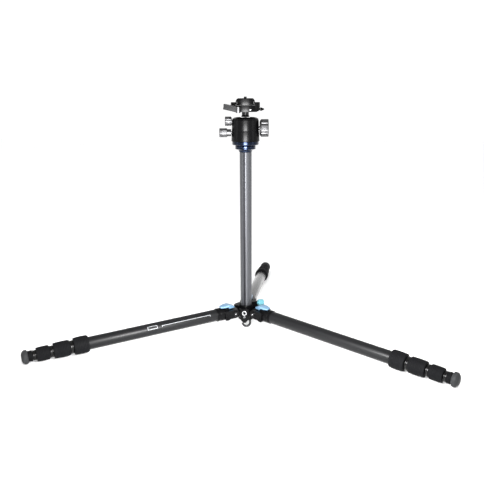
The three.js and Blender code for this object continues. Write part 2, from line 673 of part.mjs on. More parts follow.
// ---------------------------------------------------------------- assembly
const core = new THREE.Group();
core.position.z = PIVOT_HEIGHT;
core.add(mesh('crown', crown(), 'satinBlack'));
core.add(mesh('column_bushing', columnBushing(), 'nylon'));
core.add(mesh('column_lock_knob', columnLockKnob(), 'turquoise'));
core.add(mesh('accessory_port', accessoryPort(), 'silver'));
core.add(mesh('port_screw', portScrew(), 'steel'));
core.add(mesh('column_tube', columnTube(), 'columnGrey'));
core.add(mesh('column_end_cap', columnEndCap(), 'satinBlack'));
core.add(mesh('bag_hook', bagHook(), 'steel'));
core.add(mesh('column_platform', columnPlatform(), 'deepBlue'));
core.add(mesh('head_stud', disc(STUD_RADIUS, 335.4, 355.6), 'steel'));

const head = new THREE.Group();
head.position.z = PIVOT_HEIGHT;
head.rotation.z = rad(HEAD_TURN);
head.add(mesh('pan_base', panBase(), 'deepBlue'));
head.add(mesh('head_housing', headHousing(), 'satinBlack'));
head.add(mesh('ball_seat', ballSeat(), 'nylon'));
head.add(mesh('ball_retainer', ballRetainer(), 'satinBlack'));
head.add(mesh('main_knob', mainKnob(), 'silver'));
head.add(mesh('friction_knob', frictionKnob(), 'silver'));
head.add(mesh('pan_knob', panKnob(), 'silver'));
head.add(mesh('ball', ball(), 'steel'));
head.add(mesh('stem', stem(), 'satinBlack'));
head.add(mesh('clamp_body', clampBody(), 'satinBlack'));
head.add(mesh('clamp_jaw', clampJaw(), 'satinBlack'));
head.add(mesh('clamp_lever', clampLever(), 'silver'));
head.add(mesh('keeper_screw', keeperScrew(), 'steel'));
head.add(mesh('plate_release_pin', plateReleasePin(), 'satinBlack'));
head.add(mesh('quick_release_plate', quickReleasePlate(), 'satinBlack'));
head.add(mesh('plate_pad', platePad(), 'rubber'));
head.add(mesh('camera_screw', cameraScrew(), 'steel'));

const tripod = new THREE.Group();
tripod.add(core, head);
for (const side of Object.keys(LEG_AZIMUTHS)) {
  tripod.add(makeLeg(side));
}

export default tripod;
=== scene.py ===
import json
import math

import bpy
from mathutils import Matrix, Vector


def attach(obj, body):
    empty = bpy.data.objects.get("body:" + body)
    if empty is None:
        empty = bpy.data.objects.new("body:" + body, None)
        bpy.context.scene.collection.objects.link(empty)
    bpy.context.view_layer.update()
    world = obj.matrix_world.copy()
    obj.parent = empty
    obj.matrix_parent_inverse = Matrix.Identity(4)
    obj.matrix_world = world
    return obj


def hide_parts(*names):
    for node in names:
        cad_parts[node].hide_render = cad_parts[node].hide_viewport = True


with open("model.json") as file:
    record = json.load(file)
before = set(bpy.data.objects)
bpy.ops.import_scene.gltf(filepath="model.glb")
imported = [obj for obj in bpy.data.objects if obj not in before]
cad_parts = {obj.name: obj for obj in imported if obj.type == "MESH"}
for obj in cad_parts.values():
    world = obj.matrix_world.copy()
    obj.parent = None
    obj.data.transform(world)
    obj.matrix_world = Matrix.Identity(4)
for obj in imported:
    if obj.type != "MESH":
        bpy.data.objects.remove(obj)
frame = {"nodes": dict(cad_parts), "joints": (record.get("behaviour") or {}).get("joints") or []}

bl_info = {
    "name": "Ball-Head Travel Tripod",
    "version": (1, 0, 0),
    "blender": (4, 5, 0),
    "location": "View3D > Sidebar > Tripod",
    "description": "Builds the finished surfaces of a travel tripod around its packed frame",
    "category": "Object",
}

MM = 0.001
FULL_TURN = 2 * math.pi
SIDES = ("left", "right", "back")
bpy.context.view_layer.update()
JOINTS = {joint["name"]: joint for joint in frame["joints"]}
PIVOT_HEIGHT = JOINTS["leg_swing_back"]["pos_m"][2] / MM
NO_MOVE = Matrix.Identity(4)

# Legs, in millimetres along the leg from its pivot
TUBE_RADII = (12.5, 11.0, 9.5, 8.0)
TUBE_STARTS = (20.5, 40.0, 46.0, 52.0)
TUBE_ENDS = (329.6, 367.1, 399.1, 413.0)
LOCKS = ((302.2, 337.0, 17.2), (337.3, 374.6, 15.6), (374.9, 406.1, 13.9))
CASTING_END = 38.1
CHEEK_INNER = 10.3
CHEEK_OUTER = 16.8
FOOT_START = 406.4
FOOT_CONTACT = 422.7
FOOT_TIP = 427.0
WALL = 1.2
LOOSE = 0.3
COLLAR_LENGTH = 6.4
TUBE_BODIES = ("leg_{side}", "section_2_{side}", "section_3_{side}", "section_4_{side}")

# Round the column, in degrees and millimetres
LEG_AZIMUTHS = (210, 330, 90)
FRONT = 270
HOOK_AZIMUTH = 7.5
COLUMN_KNOB_AZIMUTH = 30
PIVOT_RADIUS = 30.0
BOSS_FACE = 26.3
# Radius inside which the column's grooves get painted shade
GROOVE_SHADE_RADIUS = 10.7
BOLT_HOLE_RADIUS = 3.8

# Heights in millimetres above the plane of the leg pivots
COLUMN_BOTTOM = -12.0
COLUMN_TOP = 333.4
HOUSING_BOTTOM = 355.2
HOUSING_SHOULDER = 397.4
BALL_CENTRE = 384.2
CLAMP_BOTTOM = 412.4
CLAMP_FLOOR = 425.1
CLAMP_TOP = 431.3
PLATE_TOP = 438.0
PORT_HEIGHT = 1.3
PORT_SCREW_HEIGHT = -7.3
COLUMN_KNOB_HEIGHT = 11.5
HOOK_TOP = -14.4
PLATFORM_SCREW_HEIGHT = 344.4
BASE_SCREW_HEIGHT = 350.3
PAN_KNOB_HEIGHT = 372.0
MAIN_KNOB_HEIGHT = 381.0
FRICTION_KNOB_HEIGHT = 394.5
RELEASE_PIN_HEIGHT = 417.6

# Across the head, in millimetres
BALL_RADIUS = 18.0
NOTCH_HALF_WIDTH = 9.5
LEVER_PIVOT = (-14, -25.5, 0)
KEEPER_SCREW_PLACE = (9.9, 0, 416.5)

# Turns of pieces that are drawn upright
UPRIGHT_TO_X = Matrix.Rotation(math.radians(90), 4, "Y")
UPRIGHT_TO_Y = Matrix.Rotation(math.radians(-90), 4, "X")
SIDEWAYS = Matrix.Rotation(math.radians(90), 4, "X")

# The plain marks on the left leg, in metres along and round the tube:
# middle, half length, half height, and how far below the line they reach
MARK_ANGLE = 0.614
MARKS = ((0.1055, 0.051, 0.0, 0.003), (0.1765, 0.0095, 0.003, 0.01))
MARK_HALF_WIDTH = 0.00038
MARK_COLOUR = (0.30, 0.31, 0.32, 1.0)

# The stage, in metres, watts and degrees
FLOOR_SIZE = 12.0
SKY_STRENGTH = 1.06
AREA_LIGHTS = (
    ("front_softbox", (0.115, -0.92, 0.36), (0.0, 0.0, 0.3), (0.5, 0.66), 8.0),
    ("head_panel", (0.065, -0.5, 0.29), (0.0, 0.0, 0.36), (0.22, 0.26), 12.0),
    ("left_strip", (-1.3, -0.5, 0.7), (0, 0, 0.3), (0.25, 1.0), 2.0),
    ("right_strip", (1.35, -0.4, 0.7), (0, 0, 0.3), (0.25, 1.0), 2.5),
)
CAMERA_PLACE = (0.1526, -1.2185, 0.4836)
CAMERA_HEADING = 7.503
CAMERA_PITCH = 90 - 13.339
CAMERA_ROLL = -0.277
CAMERA_LENS = 45.18
SENSOR_WIDTH = 36.0


# ---------------------------------------------------------------- places
def place_from(origin, along, across):
    """A placing matrix with its X along one direction and its Y across it."""
    x = Vector(along).normalized()
    y = Vector(across).normalized()
    z = x.cross(y)
    turn = Matrix((x, y, z)).transposed().to_4x4()
    return Matrix.Translation(Vector(origin)) @ turn


def leg_place(side):
    """From a leg's own directions, with X along the leg, to its place on the tripod."""
    swing = JOINTS[f"leg_swing_{side}"]
    slide = JOINTS[f"section_2_slide_{side}"]
    return place_from(swing["pos_m"], slide["axis"], swing["axis"])


def crown_place(degrees=0.0):
    """About the column's axis, with heights measured from the leg pivots."""
    return Matrix.Translation((0, 0, PIVOT_HEIGHT * MM)) @ Matrix.Rotation(math.radians(degrees), 4, "Z")


def head_place():
    """The head's own directions: X towards the main knob."""
    knob_axis = Vector(JOINTS["main_knob_turn"]["axis"])
    across = Vector((0, 0, 1)).cross(knob_axis)
    return place_from((0, 0, PIVOT_HEIGHT * MM), knob_axis, across)


def turned(axis, degrees):
    return Matrix.Rotation(math.radians(degrees), 4, axis)


def moved(x, y, z):
    return Matrix.Translation((x * MM, y * MM, z * MM))


# ---------------------------------------------------------------- modelling by hand
def clear_selection():
    active = bpy.context.view_layer.objects.active
    if active and active.mode != "OBJECT":
        bpy.ops.object.mode_set(mode="OBJECT")
    bpy.ops.object.select_all(action="DESELECT")


def choose(piece):
    clear_selection()
    piece.select_set(True)
    bpy.context.view_layer.objects.active = piece


def arc(centre_x, centre_y, radius, start, end, steps):
    """Points along a round stretch, angles in degrees."""
    points = []
    for index in range(steps + 1):
        angle = math.radians(start + (end - start) * index / steps)
        points.append((centre_x + radius * math.cos(angle), centre_y + radius * math.sin(angle)))
    return points


def eased(points, radius, closed=False, cuts=3):
    """Rounds each corner of a flat outline with a short curve."""
    count = len(points)
    result = []
    for index, point in enumerate(points):
        here = Vector(point)
        if not closed and index in (0, count - 1):
            result.append(tuple(here))
            continue
        before = Vector(points[index - 1]) - here
        after = Vector(points[(index + 1) % count]) - here
        reach = min(radius, before.length * 0.45, after.length * 0.45)
        straight = before.length < 1e-6 or after.length < 1e-6 or before.angle(after) > math.radians(172)
        if straight or reach < 0.02:
            result.append(tuple(here))
            continue
        start = here + before.normalized() * reach
        end = here + after.normalized() * reach
        for cut in range(cuts + 1):
            share = cut / cuts
            result.append(tuple(start * (1 - share) ** 2 + here * 2 * share * (1 - share) + end * share ** 2))
    return result


def trace(name, points):
    """Draws a chain of vertices through points in millimetres, one extrusion at a time, in edit mode."""
    clear_selection()
    bpy.ops.mesh.primitive_plane_add(size=MM)
    piece = bpy.context.object
    piece.name = name
    bpy.ops.object.mode_set(mode="EDIT")
    bpy.ops.mesh.select_all(action="SELECT")
    bpy.ops.mesh.merge(type="CENTER")
    here = Vector((0, 0, 0))
    for index, point in enumerate(points):
        step = Vector(point) * MM - here
        if index == 0:
            bpy.ops.transform.translate(value=step)
        else:
            bpy.ops.mesh.extrude_region_move(TRANSFORM_OT_translate={"value": step})
        here = Vector(point) * MM
    bpy.ops.mesh.select_all(action="SELECT")
    return piece


def close_up():
    """Merges doubled points and turns all faces outwards, then leaves edit mode."""
    bpy.ops.mesh.select_all(action="SELECT")
    bpy.ops.mesh.remove_doubles(threshold=2e-6)
    bpy.ops.mesh.normals_make_consistent(inside=False)
    bpy.ops.object.mode_set(mode="OBJECT")


def spun(name, profile, ease=0.4, steps=64, upright=False, cuts=3):
    """A turned piece. The profile is (along, radius) points; it starts and ends on the axis or where it began."""
    closed = profile[0] == profile[-1]
    points = eased(profile[:-1] if closed else profile, ease, closed, cuts)
    if closed:
        points.append(points[0])
    if upright:
        chain = [(radius, 0, along) for along, radius in points]
        axis = (0, 0, 1)
    else:
        chain = [(along, 0, radius) for along, radius in points]
        axis = (1, 0, 0)
    piece = trace(name, chain)
    bpy.ops.mesh.spin(steps=steps, angle=FULL_TURN, center=(0, 0, 0), axis=axis)
    close_up()
    return piece


def slab(name, outline, low, high, ease=0.0, matrix=NO_MOVE):
    """A flat outline in X and Y, raised from one height to another, then turned into place."""
    points = eased(outline, ease, True) if ease else list(outline)
    piece = trace(name, [(x, y, low) for x, y in points])
    bpy.ops.mesh.edge_face_add()
    bpy.ops.mesh.extrude_region_move(TRANSFORM_OT_translate={"value": (0, 0, (high - low) * MM)})
    close_up()
    settle(piece, matrix)
    return piece


def settle(piece, matrix):
    """Moves a piece and keeps its place in its mesh."""
    choose(piece)
    piece.matrix_world = matrix @ piece.matrix_world
    bpy.ops.object.transform_apply(location=True, rotation=True, scale=True)


def combine(piece, other, operation="DIFFERENCE"):
    """Cuts, joins or overlaps two pieces; the second one is used up."""
    choose(piece)
    modifier = piece.modifiers.new("combine", "BOOLEAN")
    modifier.operation = operation
    modifier.solver = "EXACT"
    modifier.object = other
    bpy.ops.object.modifier_apply(modifier=modifier.name)
    bpy.data.objects.remove(other, do_unlink=True)
    return piece


def join(piece, other):
    combine(piece, other, "UNION")


def soften(piece, width, segments=2, angle=35.0):
    """Rounds the sharp edges of a piece."""
    choose(piece)
    modifier = piece.modifiers.new("soften", "BEVEL")
    modifier.width = width * MM
    modifier.segments = segments
    modifier.limit_method = "ANGLE"
    modifier.angle_limit = math.radians(angle)
    modifier.harden_normals = False
    modifier.use_clamp_overlap = True
    bpy.ops.object.modifier_apply(modifier=modifier.name)
    return piece


def rod(name, radius, low, high, matrix=NO_MOVE, vertices=32):
    """A plain round cutter along Z."""
    clear_selection()
    bpy.ops.mesh.primitive_cylinder_add(
        vertices=vertices, radius=radius * MM, depth=(high - low) * MM, location=(0, 0, (low + high) / 2 * MM))
    piece = bpy.context.object
    piece.name = name
    settle(piece, matrix)
    return piece


def drill(piece, radius, low, high, matrix=NO_MOVE, vertices=32):
    """Takes a round hole out of a piece."""
    combine(piece, rod("drill", radius, low, high, matrix, vertices))


def block(name, x, y, z, matrix=NO_MOVE):
    """A box-shaped cutter between two corners."""
    clear_selection()
    bpy.ops.mesh.primitive_cube_add(
        size=1.0, location=((x[0] + x[1]) / 2 * MM, (y[0] + y[1]) / 2 * MM, (z[0] + z[1]) / 2 * MM),
        scale=((x[1] - x[0]) * MM, (y[1] - y[0]) * MM, (z[1] - z[0]) * MM))
    piece = bpy.context.object
    piece.name = name
    settle(piece, matrix)
    return piece


def complete(piece, matrix, body, look, nodes=(), smooth=32.0):
    """Puts a piece in place, smooths and colours it, ties it to its body and hides the CAD nodes it stands in for."""
    settle(piece, matrix)
    choose(piece)
    bpy.ops.object.shade_smooth_by_angle(angle=math.radians(smooth))
    piece.data.materials.clear()
    piece.data.materials.append(finish(look))
    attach(piece, body)
    if nodes:
        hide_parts(*nodes)
    return piece


def on_each_leg(model, name, body, look, nodes=()):
    """Copies a piece made along X to the three legs; the model itself is used up."""
    for side in SIDES:
        twin = model.copy()
        twin.data = model.data.copy()
        twin.name = f"{name}_{side}"
        bpy.context.scene.collection.objects.link(twin)
        replaced = [node.format(side=side) for node in nodes]
        complete(twin, leg_place(side), body.format(side=side), look.format(side=side), replaced)
    bpy.data.objects.remove(model, do_unlink=True)


# ---------------------------------------------------------------- finishes
def shader(name):
    """A new material with its node tree, its shader and a mapped object-space coordinate."""
    material = bpy.data.materials.new(name)
    material.use_nodes = True
    tree = material.node_tree
    surface = tree.nodes["Principled BSDF"]
    place = tree.nodes.new("ShaderNodeTexCoord")
    mapping = tree.nodes.new("ShaderNodeMapping")
    tree.links.new(place.outputs["Object"], mapping.inputs["Vector"])
    return material, tree, surface, mapping


def add_node(tree, kind, inputs, **settings):
    """Adds a shader node; each input is linked or set, by its name or its number."""
    node = tree.nodes.new(f"ShaderNode{kind}")
    for name, value in settings.items():
        setattr(node, name, value)
    for name, value in inputs.items():
        feed(tree, node.inputs[name], value)
    return node


def feed(tree, socket, value):
    if isinstance(value, bpy.types.NodeSocket):
        tree.links.new(value, socket)
    else:
        socket.default_value = value


def noise(tree, vector, scale, detail=4.0):
    return add_node(tree, "TexNoise", {"Scale": scale, "Detail": detail, "Vector": vector}).outputs["Fac"]


def spread(tree, value, low, high):
    """Maps the middle of a noise value's range to a range of its own."""
    limits = {"From Min": 0.3, "From Max": 0.7, "To Min": low, "To Max": high, "Value": value}
    return add_node(tree, "MapRange", limits).outputs["Result"]


def mix(tree, share, first, second):
    inputs = {"Factor": share, "A": first, "B": second}
    return add_node(tree, "Mix", inputs, data_type="RGBA").outputs["Result"]


def tint(tree, value, base, dark, light):
    """Varies a colour between a darker and a lighter factor."""
    return mix(tree, value, (*shade(base, dark), 1.0), (*shade(base, light), 1.0))


def relief(tree, surface, value, strength, distance=0.0002):
    node = add_node(tree, "Bump", {"Strength": strength, "Distance": distance, "Height": value})
    tree.links.new(node.outputs["Normal"], surface.inputs["Normal"])


def calculate(tree, operation, first, second=0.0):
    return add_node(tree, "Math", {0: first, 1: second}, operation=operation).outputs["Value"]


def shade(colour, factor):
    return tuple(min(1.0, channel * factor) for channel in colour)


def set_surface(tree, surface, **values):
    """Sets or links the shader's inputs; underscores stand for spaces."""
    for name, value in values.items():
        feed(tree, surface.inputs[name.replace("_", " ")], value)


def metal(name, colour, roughness, metallic=1.0, grain=(60.0, 60.0, 60.0), variation=0.1, bump=0.01,
          coat=0.0, specular=0.5):
    """Machined or anodised metal: a directional grain drives colour, roughness and relief."""
    material, tree, surface, mapping = shader(name)
    mapping.inputs["Scale"].default_value = grain
    grained = noise(tree, mapping.outputs["Vector"], 10.0, 6.0)
    set_surface(
        tree, surface, Base_Color=tint(tree, spread(tree, grained, 0.0, 1.0), colour, 1 - variation, 1 + variation),
        Roughness=spread(tree, grained, roughness - 0.05, roughness + 0.06), Metallic=metallic,
        Specular_IOR_Level=specular, Coat_Weight=coat, Coat_Roughness=0.12)
    relief(tree, surface, grained, bump)
    return material


def rubber(name, colour, roughness=0.75, pebble=900.0, bump=0.25):
    """Matt rubber with a pebbled skin."""
    material, tree, surface, mapping = shader(name)
    pebbled = noise(tree, mapping.outputs["Vector"], pebble, 2.0)
    worn = noise(tree, mapping.outputs["Vector"], 35.0, 3.0)
    set_surface(
        tree, surface, Base_Color=tint(tree, spread(tree, worn, 0.0, 1.0), colour, 0.85, 1.25),
        Roughness=spread(tree, worn, roughness - 0.08, roughness + 0.08), Specular_IOR_Level=0.1)
    relief(tree, surface, pebbled, bump, 0.0003)
    return material


def column_metal_painted_groove_shade():
    """Brushed grey metal with painted shade: a near-black colour painted into the lengthwise grooves."""
    material = metal("column_anodised", colour("column"), 0.46, 0.9, (500, 500, 6), 0.05)
    tree = material.node_tree
    surface = tree.nodes["Principled BSDF"]
    brushed = surface.inputs["Base Color"].links[0].from_socket
    place = add_node(tree, "TexCoord", {}).outputs["Object"]
    flat = add_node(tree, "VectorMath", {0: place, 1: (1, 1, 0)}, operation="MULTIPLY").outputs["Vector"]
    distance = add_node(tree, "VectorMath", {0: flat}, operation="LENGTH").outputs["Value"]
    # Painted shade: the colour turns near-black inside the grooves' radius, standing in for the shade that falls in
    # them.
    skin = add_node(tree, "MapRange", {
        "From Min": GROOVE_SHADE_RADIUS * MM, "From Max": (GROOVE_SHADE_RADIUS + 0.4) * MM, "Value": distance})
    set_surface(tree, surface, Base_Color=mix(tree, skin.outputs["Result"], (0.012, 0.012, 0.014, 1.0), brushed))
    return material


def tube_finish(side):
    """Dark wrapped tube with fine lengthwise fibres; the left one carries the plain marks."""
    material, tree, surface, mapping = shader(f"leg_tube_grey_{side}")
    place = leg_place(side)
    mapping.vector_type = "TEXTURE"
    mapping.inputs["Location"].default_value = place.translation
    mapping.inputs["Rotation"].default_value = place.to_euler("XYZ")
    stretch = add_node(tree, "VectorMath", {0: mapping.outputs["Vector"], 1: (40.0, 700.0, 700.0)},
                       operation="MULTIPLY")
    fibres = noise(tree, stretch.outputs["Vector"], 1.0)
    skin = tint(tree, spread(tree, fibres, 0.0, 1.0), colour("tube"), 0.85, 1.2)
    if side == "left":
        skin = with_marks(tree, mapping, skin)
    set_surface(
        tree, surface, Base_Color=skin, Roughness=spread(tree, fibres, 0.42, 0.52), Metallic=0.0,
        Specular_IOR_Level=0.16, Coat_Weight=1.0 if side == "back" else 0.08, Coat_Roughness=0.2)
    relief(tree, surface, fibres, 0.05)
    return material


def with_marks(tree, mapping, base):
    """A thin line with turned-down ends and a small plain box, from distances measured over the tube's skin."""
    parts = add_node(tree, "SeparateXYZ", {"Vector": mapping.outputs["Vector"]}).outputs
    around = calculate(tree, "ARCTAN2", parts["Z"], parts["Y"])
    above = calculate(tree, "MULTIPLY", calculate(tree, "SUBTRACT", around, MARK_ANGLE), TUBE_RADII[0] * MM)
    marks = []
    for middle, half_length, half_height, keep_below in MARKS:
        along = calculate(tree, "ABSOLUTE", calculate(tree, "SUBTRACT", parts["X"], middle))
        height = calculate(tree, "ABSOLUTE", above) if half_height else above
        outside = calculate(tree, "MAXIMUM", calculate(tree, "SUBTRACT", along, half_length),
                            calculate(tree, "SUBTRACT", height, half_height))
        line = calculate(tree, "LESS_THAN", calculate(tree, "ABSOLUTE", outside), MARK_HALF_WIDTH)
        near = calculate(tree, "GREATER_THAN", above, -keep_below)
        marks.append(calculate(tree, "MULTIPLY", line, near))
    return mix(tree, calculate(tree, "MAXIMUM", *marks), base, MARK_COLOUR)


FINISHES = {}


def finish(name):
    """Each shared finish is made once, when it is first needed."""
    if name not in FINISHES:
        FINISHES[name] = FINISH_MAKERS[name]()
    return FINISHES[name]


def colour(name, factor=1.0):
    return shade(getattr(bpy.context.scene.tripod_colours, name), factor)


FINISH_MAKERS = {
    "black": lambda: metal(
        "satin_black_anodised", colour("black"), 0.3, 0.0, variation=0.2, bump=0.015, coat=0.05, specular=0.05),
    "head_black": lambda: metal("head_black_anodised", colour("black", 0.6), 0.27, 0.0, bump=0.001, specular=0.1),
    "gloss": lambda: metal("gloss_black", colour("black", 0.5), 0.14, 0.0, coat=0.3, specular=0.1),
    "gunmetal": lambda: metal("gunmetal", colour("steel", 0.12), 0.22, bump=0.03),
    "blue": lambda: metal("deep_blue_anodised", colour("blue"), 0.22, bump=0.002, coat=0.3),
    "sky": lambda: metal("sky_blue_anodised", colour("sky"), 0.34, 0.3, variation=0.05, bump=0.05),
    "turquoise": lambda: metal("turquoise_anodised", colour("turquoise"), 0.34, 0.3, variation=0.05, bump=0.05),
    "silver": lambda: metal(
        "silver_machined", colour("silver"), 0.42, grain=(400, 30, 30), variation=0.06, bump=0.004),
    "lever": lambda: metal("lever_grey", colour("silver", 1.3), 0.3, grain=(30, 30, 400), bump=0.04),
    # Bright metal for the port ring, and painted highlight for the pins in the bolt sockets.
    "bright": lambda: metal("bright_ring", colour("silver", 6.0), 0.25, variation=0.04),
    "steel": lambda: metal("bright_steel", colour("steel"), 0.28, variation=0.05, bump=0.02),
    "hook": lambda: metal("dark_steel", colour("steel", 0.3), 0.28, bump=0.04),
    # The column's finish carries painted shade in its grooves.
    "column": column_metal_painted_groove_shade,
    "tube_left": lambda: tube_finish("left"),
    "tube_right": lambda: tube_finish("right"),
    "tube_back": lambda: tube_finish("back"),
    "rubber": lambda: rubber("ribbed_rubber", colour("rubber")),
    "foot": lambda: rubber("foot_rubber", colour("foot"), 0.6, 700.0, 0.15),
    "nylon": lambda: rubber("seat_nylon", (0.03, 0.03, 0.03), 0.5, 400.0, 0.05),
}


# ---------------------------------------------------------------- settings
COLOUR = {"subtype": "COLOR", "size": 3, "min": 0, "max": 1}


class TripodColours(bpy.types.PropertyGroup):
    """Base colours of the tripod's finishes."""

    black: bpy.props.FloatVectorProperty(
        name="Black", description="Satin black castings and clamp", default=(0.0012, 0.0012, 0.0014),
        **COLOUR)
    blue: bpy.props.FloatVectorProperty(
        name="Deep blue", description="Pan base and column platform", default=(0.004, 0.0095, 0.026),
        **COLOUR)
    sky: bpy.props.FloatVectorProperty(
        name="Sky blue", description="Leg angle latches", default=(0.11, 0.20, 0.30),
        **COLOUR)
    turquoise: bpy.props.FloatVectorProperty(
        name="Turquoise", description="Column lock knob", default=(0.08, 0.23, 0.27),
        **COLOUR)
    silver: bpy.props.FloatVectorProperty(
        name="Silver", description="Machined knobs, lever and bolts", default=(0.07, 0.07, 0.072),
        **COLOUR)
    steel: bpy.props.FloatVectorProperty(
        name="Steel", description="Screws, ball and hook", default=(0.14, 0.14, 0.145),
        **COLOUR)
    column: bpy.props.FloatVectorProperty(
        name="Column grey", description="Centre column", default=(0.085, 0.087, 0.094),
        **COLOUR)
    tube: bpy.props.FloatVectorProperty(
        name="Tube grey", description="Leg tubes", default=(0.002, 0.0021, 0.0025),
        **COLOUR)
    rubber: bpy.props.FloatVectorProperty(
        name="Rubber", description="Twist lock sleeves", default=(0.002, 0.0021, 0.0026),
        **COLOUR)
    foot: bpy.props.FloatVectorProperty(
        name="Foot grey", description="Foot pads", default=(0.022, 0.023, 0.024),
        **COLOUR)


class TripodSizes(bpy.types.PropertyGroup):
    """Small details of the tripod that a user may want to change."""

    edge_softness: bpy.props.FloatProperty(
        name="Edge softness", description="Rounding of machined edges", unit="LENGTH",
        min=0.0001, max=0.0015, default=0.0006)
    lock_rib_pitch: bpy.props.FloatProperty(
        name="Lock rib pitch", description="Distance between the rings of a twist lock", unit="LENGTH",
        min=0.0015, max=0.006, default=0.0029)
    main_knob_flutes: bpy.props.IntProperty(
        name="Main knob flutes", description="Number of grooves round the main knob", min=6, max=24, default=12)


def softness():
    return bpy.context.scene.tripod_sizes.edge_softness / MM


# ---------------------------------------------------------------- shared shapes
def fluted(radius, depth, flutes, per_flute=8):
    """A knob outline with rounded grooves."""
    points = []
    for index in range(flutes * per_flute):
        angle = FULL_TURN * index / (flutes * per_flute)
        wave = max(0.0, math.cos(flutes * angle)) ** 1.5
        reach = radius - depth * wave
        points.append((reach * math.cos(angle), reach * math.sin(angle)))
    return points


def socket_cutter(radius, low, high, matrix=NO_MOVE):
    """A six-sided key hole."""
    return rod("socket_cutter", radius, low, high, matrix, 6)


# ---------------------------------------------------------------- leg pieces
def build_castings():
    body = spun("leg_casting", [
        (11.5, 0), (11.5, 12.2), (13.8, 14.0), (30.8, 13.8), (31.2, 13.3), (32.2, 13.3), (32.6, 13.8),
        (CASTING_END, 13.8), (CASTING_END, 12.8), (CASTING_END - 1.2, 0)], 0.5)
    outline = [*arc(0, 0, 9.0, 90, 270, 16), (12, -9), (16, -11), (22, -11), (22, 9), (16, 9)]
    for low in (-CHEEK_OUTER, CHEEK_INNER):
        join(body, slab("cheek", outline, low, low + CHEEK_OUTER - CHEEK_INNER, 0.0, SIDEWAYS))
    drill(body, TUBE_RADII[0] + LOOSE, TUBE_STARTS[0] - LOOSE, CASTING_END + 5, UPRIGHT_TO_X, 64)
    combine(body, block("recess", (5, 17.5), (-8.8, 8.8), (10.2, 20)))
    drill(body, BOLT_HOLE_RADIUS, -20, 20, UPRIGHT_TO_Y)
    for side in (-1, 1):
        drill(body, 2.0, 15.6, 20, moved(18.5, 0, -4.5) @ turned("X", -90 * side))
    soften(body, softness())
    on_each_leg(body, "casting", "leg_{side}", "black", ["leg_casting_{side}"])


def build_latches():
    side_view = [(-2, 10.6), (10.5, 10.6), (10.5, 14.2), (25, 14.2), (28.5, 14.6), (28.5, 16.6), (25, 17.2),
                 (18, 18.0), (11, 18.7), (7, 17.4), (-2, 13.2)]
    plan = [(-3, -5.5), (9, -8.5), (20, -8.5), (29, -5), (29, 5), (20, 8.5), (9, 8.5), (-3, 5.5)]
    latch = slab("angle_latch", side_view, -9, 9, 0.5, SIDEWAYS)
    combine(latch, slab("plan", plan, 5, 25, 1.5), "INTERSECT")
    drill(latch, 2.2, 5, 25, moved(-2.4, 0, 0))
    for x in (19.0, 21.5, 24.0):
        drill(latch, 0.55, -12, 12, moved(x, 0, 18.2 - (x - 18) * 0.13) @ UPRIGHT_TO_Y)
    soften(latch, softness(), 3)
    on_each_leg(latch, "latch", "latch_{side}", "sky", ["angle_latch_{side}"])


def build_bolts():
    inner = CHEEK_OUTER + 0.3
    outer = inner + 1.6
    bolt = spun("pivot_bolt", [
        (-outer, 0), (-outer, 4.9), (-outer + 0.6, 5.5), (-inner, 5.5), (-inner, 3.5), (inner, 3.5), (inner, 5.5),
        (outer - 0.6, 5.5), (outer, 4.9), (outer, 0)], 0.2, 48)
    for low, high in ((-outer - 1, -outer + 1.3), (outer - 1.3, outer + 1)):
        combine(bolt, socket_cutter(2.5, low, high, UPRIGHT_TO_X))
    settle(bolt, turned("Z", 90))
    on_each_leg(bolt, "pivot_bolt", "crown", "gunmetal", ["pivot_bolt_{side}"])
    # Painted highlight: a small bright pin in each bolt's socket stands in for the highlight dot on the dark bolt
    # head.
    pin = spun("bolt_pin", [
        (-outer + 0.1, 0), (-outer + 0.2, 1.2), (-outer + 0.8, 1.7), (outer - 0.8, 1.7), (outer - 0.2, 1.2),
        (outer - 0.1, 0)], 0.2, 32)
    settle(pin, turned("Z", 90))
    on_each_leg(pin, "bolt_pin", "crown", "bright")


def build_tubes():
    for index, radius in enumerate(TUBE_RADII):
        start, end = TUBE_STARTS[index], TUBE_ENDS[index]
        tube = spun("leg_tube", [
            (start, radius - WALL), (start, radius), (end, radius), (end, radius - WALL),
            (start, radius - WALL)], 0.3)
        on_each_leg(tube, f"tube_{index + 1}", TUBE_BODIES[index], "tube_{side}",
                    [f"leg_tube_{index + 1}_{{side}}"])


